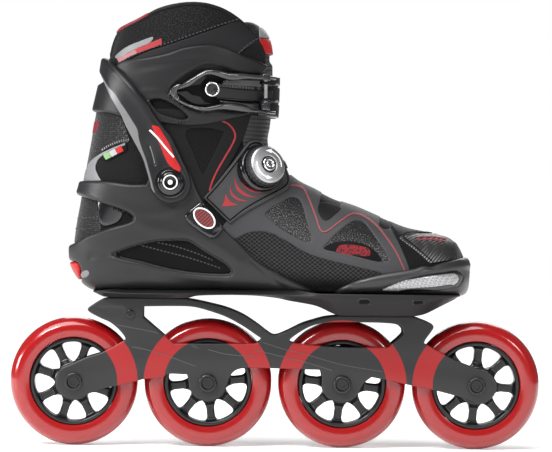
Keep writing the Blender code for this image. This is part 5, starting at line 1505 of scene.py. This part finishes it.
LEVER_UPPER_ARM = ((-79.6, 276.3), (-77, 279.1), (-72.1, 282.7), (-65.8, 287), (-61.9, 289.7), (-57, 292.1),
                   (-49.6, 292.3), (-44.3, 291), (-38.9, 290.3), (-31.1, 290.3), (-24.2, 289.8),
                   (-19.3, 290), (-10.4, 289, 1), (-10.4, 286.2, 1), (-20.3, 286.4), (-29.1, 286.5),
                   (-37.9, 285.1), (-42.8, 285.3), (-47.7, 287), (-51.6, 288.6), (-56.5, 289),
                   (-61.4, 286.5), (-65.3, 283), (-68.7, 280.1), (-73.1, 278.1), (-78, 276.5))
LEVER_LOWER_ARM = ((-83.4, 274.2), (-81.4, 270.3), (-77, 266.9), (-70.2, 263.7), (-63.3, 261.6),
                   (-56.5, 261.6), (-49.6, 263), (-41.8, 262.8), (-34, 261.3), (-27.1, 260.2),
                   (-19.3, 259.5), (-10.4, 259.3, 1), (-10.4, 261.5, 1), (-18.3, 261.8), (-24.2, 262.8),
                   (-28.1, 265.2), (-34, 266.9), (-39.9, 267.9), (-46.7, 267.5), (-53.6, 265.5),
                   (-59.4, 264.1), (-65.3, 264.7), (-72.1, 266.9), (-77, 269.8), (-81, 273.7))
LEVER_UPPER_SKIRT = ((-45.7, 284.2), (-41.8, 285.1), (-30.1, 286.4), (-17.3, 286.4, 1), (-17.3, 280.4, 1),
                     (-30.1, 281), (-41.8, 281.3), (-46.7, 281.7))
LEVER_LOWER_SKIRT = ((-49.7, 269.8), (-41.8, 269.6), (-30.1, 268.3), (-17.8, 267.4, 1), (-17.8, 261.9, 1),
                     (-24.2, 262.9), (-29.1, 265.7), (-35.9, 267.4), (-45.7, 268))


def make_closure(boot, finishes):
    """The front strap, its toothed ladder and the recess that the buckle lies in."""
    rounded = area(((-20.6, 264, 1), (20, 264, 1), (20, 282, 1), (-20.6, 282, 1)), smooth=False)
    put(relief("front_strap", boot, rounded, 0.3, 3.1, finishes["cuff"], edge=1.0), "cuff", "cuff",
        "closure_strap")
    side_band = area(((-62, 268), (-58, 264, 1), (-17, 264, 1), (-17, 282, 1), (-58, 282, 1), (-62, 278)))
    panel("strap_tail", boot, side_band, 2.9, 6.4, finishes["cuff"], body="cuff", slot="cuff", edge=1.0,
          side=1)
    ladder = area(((-50.6, 271.7, 1), (-47.7, 271.2), (-39.9, 271, 1), (-10, 268.2, 1), (-9.5, 277.8, 1),
                   (-39.9, 279.3, 1), (-47.7, 279.3), (-52.6, 278.8, 1)))
    put(relief("toothed_ladder", boot, ladder, 3.0, 7.2, finishes["cuff"], edge=1.0, side=-1, fine=1.2),
        "cuff", "gloss_plastic", "ladder_strap")
    teeth = area(((-48.7, 270.6, 1), (-8.5, 267.7, 1), (-8.5, 280.1, 1),
                  (-48.7, 282.2, 1))).minus(ladder.grown(-0.4))
    bite = lambda places: 0.5 * (np.mod(-places[:, 0], 2.4) > 1.2)
    panel("ladder_teeth", boot, teeth, 2.6, 4.6, finishes["gloss"], body="cuff", slot="gloss_plastic",
          edge=0.4, side=-1, extra=(bite,), fine=0.9)
    # A flat black sheet in the buckle's recess: painted shade under the lever.
    floor = area(((-83.1, 275.6), (-79.2, 281), (-71.3, 287.4), (-61.5, 292.3), (-49.7, 292.8),
                  (-39.9, 289.9), (-8.4, 288.9, 1), (-8.4, 260.4, 1), (-30.1, 261.9), (-44.8, 263.3),
                  (-59.5, 262.9), (-71.3, 265.8), (-79.2, 270.7)))
    panel("recess_painted_shade", boot, floor, 1.0, 2.3, finishes["black"], body="cuff", slot="cuff", edge=0.5,
          side=-1)
    for name, outline in (
            ("recess_wing_upper", WING_UPPER),
            ("recess_wing_lower", WING_LOWER)):
        panel(name, boot, area(outline), 2.0, 4.4, finishes["cuff"], body="cuff", slot="cuff", edge=1.0,
              side=-1, fine=1.0)


def make_buckle(boot, finishes):
    """The lever on its pin, the plate and ears that carry it, and the screw on the strap."""
    dip = lambda places: -5.4 * ease(places[:, 0], -46.0, -78.0)
    round_tip = lambda places: -1.2 * ease(places[:, 0], -70.0, -84.0)
    loop = (
        ("lever_upper_arm", LEVER_UPPER_ARM, 8.6, 12.2, "lever", 1.5),
        ("lever_lower_arm", LEVER_LOWER_ARM, 8.6, 12.2, "lever", 1.5),
        ("lever_upper_skirt", LEVER_UPPER_SKIRT, 6.4, 9.4, "gloss", 0.8),
        ("lever_lower_skirt", LEVER_LOWER_SKIRT, 6.4, 9.4, "gloss", 0.8),
    )
    arms = [relief(name, boot, area(outline), low, high, finishes[finish], edge=edge, side=-1, steps=4,
                   fine=1.2, over=(dip, round_tip)) for name, outline, low, high, finish, edge in loop]
    nose = relief("lever_nose", boot, area(((-84, 274.9), (-82.5, 277.8), (-78.1, 280.8), (-75.1, 281.2),
                                            (-78.1, 276.8), (-78.6, 273.9), (-76.1, 270), (-78.1, 268.5),
                                            (-82.5, 271.4))), 8.6, 11.8, finishes["lever"], edge=1.2,
                  side=-1, fine=1.2, over=(dip, round_tip))
    arms.append(nose)
    joint = next(j for j in frame["joints"] if j["name"] == "buckle_lever_swing")
    pin = [c / MM for c in joint["pos_m"]]
    for number, (low, high) in enumerate(((262.0, 268.4), (284.8, 290.0))):
        rows = fillet([(0.01, low), (3.4, low), (3.4, high), (0.01, high)], 0.6)
        arms.append(lathe(f"lever_knuckle_{number}", rows, finishes["lever"], (pin[0], pin[1], 0.0),
                          (0, 0, 1), 40))
    for piece in arms:
        put(piece, "lever", "gloss_plastic")
    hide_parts("buckle_lever")
    base = area(((-18, 258, 1), (14, 255.5, 1), (14, 289.5, 1), (-18, 288.5, 1)), smooth=False)
    grooves = (ridge(((-20, 268.5), (15, 268)), 0.7, -0.9), ridge(((-20, 281.5), (15, 281.5)), 0.7, -0.9))
    band = relief("buckle_base_plate", boot, base, 3.2, 5.2, finishes["gloss"], edge=0.9, extra=grooves)
    put(band, "cuff", "gloss_plastic", "buckle_base")
    make_cheeks(pin, finishes)
    place, normal = on_boot(boot, -53.3, 277.2)
    place = place + normal * 6.0
    ring = fillet([(4.4, 0.0), (5.8, 0.0), (5.8, 1.4), (5.3, 1.9), (4.7, 1.9), (4.4, 1.4)], 0.3, closed=True)
    put(lathe("screw_ring", ring, finishes["bright"], tuple(place), tuple(normal), 64, closed=True), "cuff",
        "steel", "strap_screw")
    head = fillet([(0.01, 0.0), (4.3, 0.0), (4.3, 0.7), (2.4, 0.9), (2.2, 0.4), (0.01, 0.4)], 0.2)
    put(lathe("screw_head", head, finishes["dark_steel"], tuple(place), tuple(normal), 48), "cuff", "steel")


def make_cheeks(pin, finishes):
    """The two ears that carry the lever's pin."""
    foot = np.array([-6.0, -24.0])
    outwards = np.array(pin[:2]) - foot
    outwards /= np.linalg.norm(outwards)
    across = np.array([-outwards[1], outwards[0]])
    tip = np.array(pin[:2])
    for number, (low, high) in enumerate(((269.0, 271.2), (281.8, 284.2))):
        corners = [foot + across * 4.5, tip + across * 3.2, tip + across * 2.0 + outwards * 2.8,
                   tip - across * 2.0 + outwards * 2.8, tip - across * 3.2, foot - across * 4.5]
        points = [(c[0], c[1], z) for z in (low, high) for c in corners]
        shape = bmesh.new()
        verts = [shape.verts.new(Vector(p) * MM) for p in points]
        shape.faces.new(verts[:6])
        shape.faces.new(verts[:5:-1])
        for i in range(6):
            j = (i + 1) % 6
            shape.faces.new((verts[i], verts[j], verts[6 + j], verts[6 + i]))
        bmesh.ops.recalc_face_normals(shape, faces=shape.faces)
        bmesh.ops.bevel(shape, geom=list(shape.edges), offset=0.5 * MM, segments=2, affect="EDGES")
        mesh = bpy.data.meshes.new("cheek")
        shape.to_mesh(mesh)
        shape.free()
        mesh.materials.append(finishes["gloss"])
        mesh.shade_smooth()
        mesh.set_sharp_from_angle(angle=math.radians(40))
        put(add_object(f"buckle_cheek_{number}", mesh), "cuff", "gloss_plastic")


def on_boot(boot, x, z):
    """The boot's surface point and normal that the outer side view shows at (x, z)."""
    away = np.hypot(boot.points[:, 0] - x, boot.points[:, 2] - z) + 1e6 * (boot.points[:, 1] > 0.0)
    i = int(away.argmin())
    return Vector(boot.points[i]), Vector(boot.normals[i])


# ---------------------------------------------------------------- instep strap and dial


STRAP_OUTLINE = ((-57.2, 193.5, 1), (-49.8, 202.2), (-39.9, 215), (-30, 228.2), (-24.6, 236.1),
                 (-20.2, 238.8), (-15.7, 238.6), (-12.3, 235.6), (-5.4, 230.2), (2.5, 220.3), (7.4, 211.9),
                 (9.2, 207), (9.4, 203), (7.2, 199.9), (-0.5, 195.7), (-10.3, 190.3), (-20.2, 185),
                 (-30, 178.7), (-36.6, 173.8, 1))
STRAP_BORDER = ((-54.7, 193.5, 1), (-43.9, 206), (-33, 220.3), (-24.6, 232.6), (-20.7, 236.4),
                (-16.2, 236.3), (-12.3, 232.6), (-4.4, 226.7), (2.5, 217.3), (6.4, 209.5), (7, 205.5),
                (5, 202.2), (-4.4, 197), (-16.2, 190.7), (-26.1, 184.6), (-36.4, 176.3, 1))
ANCHOR = ((-59.1, 190.7), (-57.1, 189.7), (-50.2, 181.4), (-42.3, 173), (-41.4, 170.6), (-43.8, 167.1),
          (-48.3, 163.1), (-51.2, 162.8), (-59.5, 167.6), (-69.4, 175.1), (-71.2, 178.5), (-69.9, 181.8),
          (-63.5, 187.7))


def make_strap(boot, finishes):
    """The instep strap with its stitched border, its two anchors and the badge."""
    border = area(STRAP_BORDER)
    groove = lambda places: -0.7 * np.exp(-(border.distance(places) / 0.6) ** 2)
    outline = area(STRAP_OUTLINE)
    strap = relief("instep_band", boot, outline, 0.3, 3.0, finishes["strap"], edge=1.0, extra=(groove,),
                   steps=4, fine=1.3)
    put(strap, "chassis", "strap", "instep_strap")
    seam = border.grown(0.55).minus(border.grown(-0.55))
    panel("strap_seam", boot, seam, 1.6, 2.75, finishes["black"], slot="strap", edge=0.2, fine=0.7)
    lines = (("strap_line_outer", border.grown(1.35).minus(border.grown(0.65))),
             ("strap_line_inner", border.grown(-0.65).minus(border.grown(-1.25))))
    for name, line in lines:
        panel(name, boot, line.within(outline.grown(-0.3)), 2.4, 3.25, finishes["thread"], slot="strap",
              edge=0.25, fine=0.6)
    make_strap_print(boot, finishes)
    for name, side in SIDES:
        dent = (ridge(((-48, 166), (-41, 173), (-52, 190), (-62, 184)), 1.0, -0.3),)
        anchor = relief(f"anchor_{name}", boot, area(ANCHOR), 3.9, 7.2, finishes["gloss"], edge=1.6,
                        side=side, extra=dent, steps=4)
        put(anchor, "chassis", "gloss_plastic", f"strap_anchor_{name}")
    middle = (-56.2, 178.0)
    direction = (0.76, -0.65)
    put(relief("badge_rim", boot, ellipse(middle, 10.2, 6.4,
                                          direction).minus(ellipse(middle, 8.9, 5.2, direction)), 6.6, 7.9,
               finishes["white"], edge=0.6, side=-1, fine=0.8), "chassis", "red_plastic", "anchor_badge")
    panel("badge_face", boot, ellipse(middle, 8.9, 5.2, direction), 6.6, 7.4, finishes["badge"],
          slot="red_plastic", edge=0.4, side=-1, fine=0.8)


def make_strap_print(boot, finishes):
    """The arrow head and the three arcs that open towards the dial."""
    head = area(((-42.9, 186.9, 1), (-41.3, 190.7), (-40.1, 197.1, 1), (-38.4, 193.2), (-36, 190.5),
                 (-33.5, 189.3), (-29.9, 188.1, 1), (-36, 187.5)))
    panel("print_head", boot, head, 2.4, 3.2, finishes["red_line"], slot="red_plastic", edge=0.2, side=-1,
          fine=0.8)
    arcs = (
        ((-36.9, 203.8), (-36.7, 199.6), (-35, 195.8), (-31, 192.7), (-26.6, 191.4), (-21.7, 190.9)),
        ((-33.2, 210.7), (-33.2, 205.5), (-30.5, 200), (-26.1, 196.6), (-21.2, 194.6), (-15.8, 194.4)),
        ((-29.7, 215.3), (-29.3, 209.4), (-26.1, 204), (-20.7, 199.6), (-15.8, 197.8), (-10.4, 198)),
    )
    for number, line in enumerate(arcs):
        path = curve(line, closed=False)
        length = np.linalg.norm(np.diff(path, axis=0), axis=1).sum()
        width = (1.9, 2.3, 2.6)[number]

        def distance(places, path=path, width=width, length=length):
            away, along = line_distance(places, path, False)
            taper = np.clip(np.minimum(along, length - along) / (0.4 * length), 0.06, 1.0)
            return width / 2 * taper - away

        shape = Area(distance, path.min(0) - width, path.max(0) + width)
        panel(f"print_arc_{number}", boot, shape, 2.4, 3.2, finishes["red_line"], slot="red_plastic",
              edge=0.2, side=-1, fine=0.8)


def make_dial(finishes):
    """The instep dial: housing, knurled knob, brushed face and cap, turned about the joint's own axis."""
    joint = next(j for j in frame["joints"] if j["name"] == "dial_turn")
    place = tuple(c / MM for c in joint["pos_m"])
    axis = tuple(joint["axis"])
    base = fillet([(0.01, -7.0), (18.6, -7.0), (18.6, 2.6), (17.4, 4.4), (16.2, 4.6), (9.4, 4.6), (9.2, 0.9),
                   (0.01, 0.9)], 0.7)
    put(lathe("dial_housing", base, finishes["gloss"], place, axis, 96), "chassis", "gloss_plastic",
        "dial_base")
    rows = fillet([(3.2, 5.0), (15.2, 5.0), (16.5, 6.4), (16.0, 11.2), (15.0, 12.6), (14.4, 12.9),
                   (14.2, 12.5), (3.2, 12.5)], 0.5, 3, closed=True)
    grips = 30

    def knurl(row, angle, radii):
        depth = 0.55 * np.clip((radii - 14.4) / 1.2, 0.0, 1.0)
        return radii - depth * (0.5 + 0.5 * np.cos(angle * grips)) ** 2

    knob = lathe("knob_grip", rows, finishes["rubber"], place, axis, 240, closed=True, radius_at=knurl)
    put(knob, "dial", "gloss_rubber", "dial_knob")
    face = fillet([(6.4, 12.3), (14.6, 12.3), (14.7, 12.8), (13.6, 13.7), (10.6, 14.5), (7.2, 14.8),
                   (6.6, 14.5), (6.4, 13.8)], 0.5, closed=True)
    put(lathe("knob_face", face, finishes["dial_face"], place, axis, 96, closed=True), "dial", "steel")
    well = fillet([(0.01, 11.6), (6.3, 11.6), (6.3, 12.4), (0.01, 12.6)], 0.2)
    put(lathe("knob_well", well, finishes["black"], place, axis, 64), "dial", "steel")
    cap = fillet([(0.01, 12.2), (5.4, 12.2), (5.4, 14.9), (4.9, 15.5), (3.4, 15.6), (3.1, 15.1), (2.3, 15.1),
                  (2.0, 15.5), (0.01, 15.6)], 0.3)
    put(lathe("knob_cap", cap, finishes["bright"], place, axis, 72), "dial", "steel", "dial_cap")
    refinish("dial_spool", finishes["steel"])
    make_dial_marks(place, axis, finishes)


def make_dial_marks(place, axis, finishes):
    """Two curved arrows on the dial's face that show which way it turns."""
    turn = np.array(Vector((0.0, 0.0, 1.0)).rotation_difference(Vector(axis)).to_matrix())
    for number, start in enumerate((0.35, 0.35 + math.pi)):
        points, tris = [], []
        count = 18
        for i in range(count):
            angle = start + 1.9 * i / (count - 1)
            half = 0.45 if i < count - 5 else 1.5 * (count - 1 - i) / 4.0 + 0.02
            for radius, height in ((10.9 - half, 14.2), (10.9 - half, 14.65), (10.9 + half, 14.55),
                                   (10.9 + half, 14.1)):
                points.append((radius * math.cos(angle), radius * math.sin(angle), height))
        for i in range(count - 1):
            for j in range(4):
                k = (j + 1) % 4
                a, b, c, d = 4 * i + j, 4 * i + k, 4 * (i + 1) + k, 4 * (i + 1) + j
                tris += [(a, b, c), (a, c, d)]
        tris += [(0, 2, 1), (0, 3, 2)]
        last = 4 * (count - 1)
        tris += [(last, last + 1, last + 2), (last, last + 2, last + 3)]
        mark = object_from(f"dial_arrow_{number}", np.array(points) @ turn.T + np.array(place), tris,
                           finishes["white"])
        clean(mark)
        put(mark, "dial", "steel")


def make_lace(finishes):
    """The stretch of lace that shows over the front of the instep, clear of the strap."""
    stations = np.full(24, 13.0) + 0.5 * np.sin(np.linspace(0.0, math.pi, 24))
    angles = np.radians(np.linspace(-14.0, 40.0, 24))
    points = boot_points(stations, angles)
    ahead = boot_points(stations + 0.02, angles) - points
    around = boot_points(stations, angles + 0.02) - points
    normal = np.cross(ahead, around)
    normal *= np.sign((normal * (points - points.mean(0) + (30.0, 0.0, 30.0))).sum(1))[:, None]
    normal /= np.linalg.norm(normal, axis=1, keepdims=True)
    put(tube("lace", points + normal * 4.4, 0.9, finishes["rubber"]), "chassis", "gloss_rubber", "lace_cable")


def tube(name, points, radius, finish):
    """A round tube along a line of points."""
    line = bpy.data.curves.new(name, "CURVE")
    line.dimensions = "3D"
    spline = line.splines.new("POLY")
    spline.points.add(len(points) - 1)
    for target, point in zip(spline.points, points):
        target.co = (*(np.asarray(point) * MM), 1.0)
    line.bevel_depth = radius * MM
    line.bevel_resolution = 3
    line.use_fill_caps = True
    line.materials.append(finish)
    return add_object(name, line)


# ---------------------------------------------------------------- stage


def make_floor():
    """The white floor, a little bright of itself."""
    floor_mesh = bpy.data.meshes.new("floor")
    size = 6.0
    floor_mesh.from_pydata([(-size, -size, 0), (size, -size, 0), (size, size, 0), (-size, size, 0)], [],
                           [(0, 1, 2, 3)])
    made, nodes, links, main = shader("floor", (0.96, 0.96, 0.96), 0.6)
    main.inputs["Emission Color"].default_value = (1.0, 1.0, 1.0, 1.0)
    main.inputs["Emission Strength"].default_value = 0.16
    where = nodes.new("ShaderNodeTexCoord")
    grain_bump(nodes, links, main, where, 40.0, 0.02)
    floor_mesh.materials.append(made)
    add_object("floor", floor_mesh)


def make_sky():
    """A white background for the camera, which lights the skate only faintly."""
    world = bpy.data.worlds.new("studio")
    bpy.context.scene.world = world
    world.use_nodes = True
    tree = world.node_tree
    sky = tree.nodes["Background"]
    sky.inputs[0].default_value = (1.0, 1.0, 1.0, 1.0)
    seen = tree.nodes.new("ShaderNodeLightPath")
    strength = tree.nodes.new("ShaderNodeMix")
    strength.inputs["A"].default_value = 0.13
    strength.inputs["B"].default_value = 1.0
    tree.links.new(seen.outputs["Is Camera Ray"], strength.inputs["Factor"])
    tree.links.new(strength.outputs["Result"], sky.inputs[1])
    bpy.context.scene.view_settings.view_transform = "Standard"


def make_lights():
    """A soft sun from above, and four area lights that point at the skate."""
    sun = bpy.data.lights.new("sun", "SUN")
    sun.energy = 3.4
    sun.angle = math.radians(50)
    add_object("sun", sun).rotation_euler = (math.radians(24), math.radians(-16), 0.0)
    for name, place, size, power in (
            ("key", (-0.9, -1.3, 1.35), 0.6, 24.0),
            ("fill", (1.2, -1.5, 0.9), 0.5, 9.0),
            ("left", (-1.9, -0.35, 0.55), 0.6, 22.0),
            ("back", (0.2, 1.4, 1.0), 1.2, 10.0)):
        lamp = bpy.data.lights.new(name, "AREA")
        lamp.shape = "RECTANGLE"
        lamp.size = size
        lamp.size_y = size * 0.7
        lamp.energy = power
        obj = add_object(name, lamp)
        obj.location = place
        obj.rotation_euler = (Vector((0.0, 0.0, 0.16)) - Vector(place)).to_track_quat("-Z", "Y").to_euler()


def make_camera():
    """A long lens level with the boot, a little behind its middle, tilted as the photograph is."""
    distance = 2.6
    width = 0.43194
    eye_x, eye_z = -0.0334, 0.1709
    camera = bpy.data.cameras.new("camera")
    camera.sensor_width = 36.0
    camera.lens = 36.0 * distance / width
    camera.shift_x, camera.shift_y = 0.0764, 0.0033
    obj = add_object("camera", camera)
    roll = math.radians(0.67)
    obj.matrix_world = (Matrix.Translation((eye_x, -distance, eye_z)) @ Matrix.Rotation(math.pi / 2, 4, "X")
                        @ Matrix.Rotation(roll, 4, "Z"))
    bpy.context.scene.camera = obj


def main():
    """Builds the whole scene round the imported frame."""
    make_camera()
    make_floor()
    make_sky()
    make_lights()
    finishes = make_finishes()
    boot = boot_surface()
    for number, (centre, angle) in enumerate(zip(WHEEL_CENTRES, SPOKE_ANGLES), 1):
        make_wheel(number, centre, angle, finishes)
    make_frame(finishes)
    make_shell(boot, finishes)
    make_sole(boot, finishes)
    make_toe(boot, finishes)
    make_boot(boot, finishes)
    make_upper_panels(boot, finishes)
    make_leg_panels(boot, finishes)
    make_collar_panels(boot, finishes)
    make_cuff(boot, finishes)
    make_closure(boot, finishes)
    make_buckle(boot, finishes)
    make_strap(boot, finishes)
    make_dial(finishes)
    make_lace(finishes)
    refinish("buckle_pin", finishes["steel"])


main()
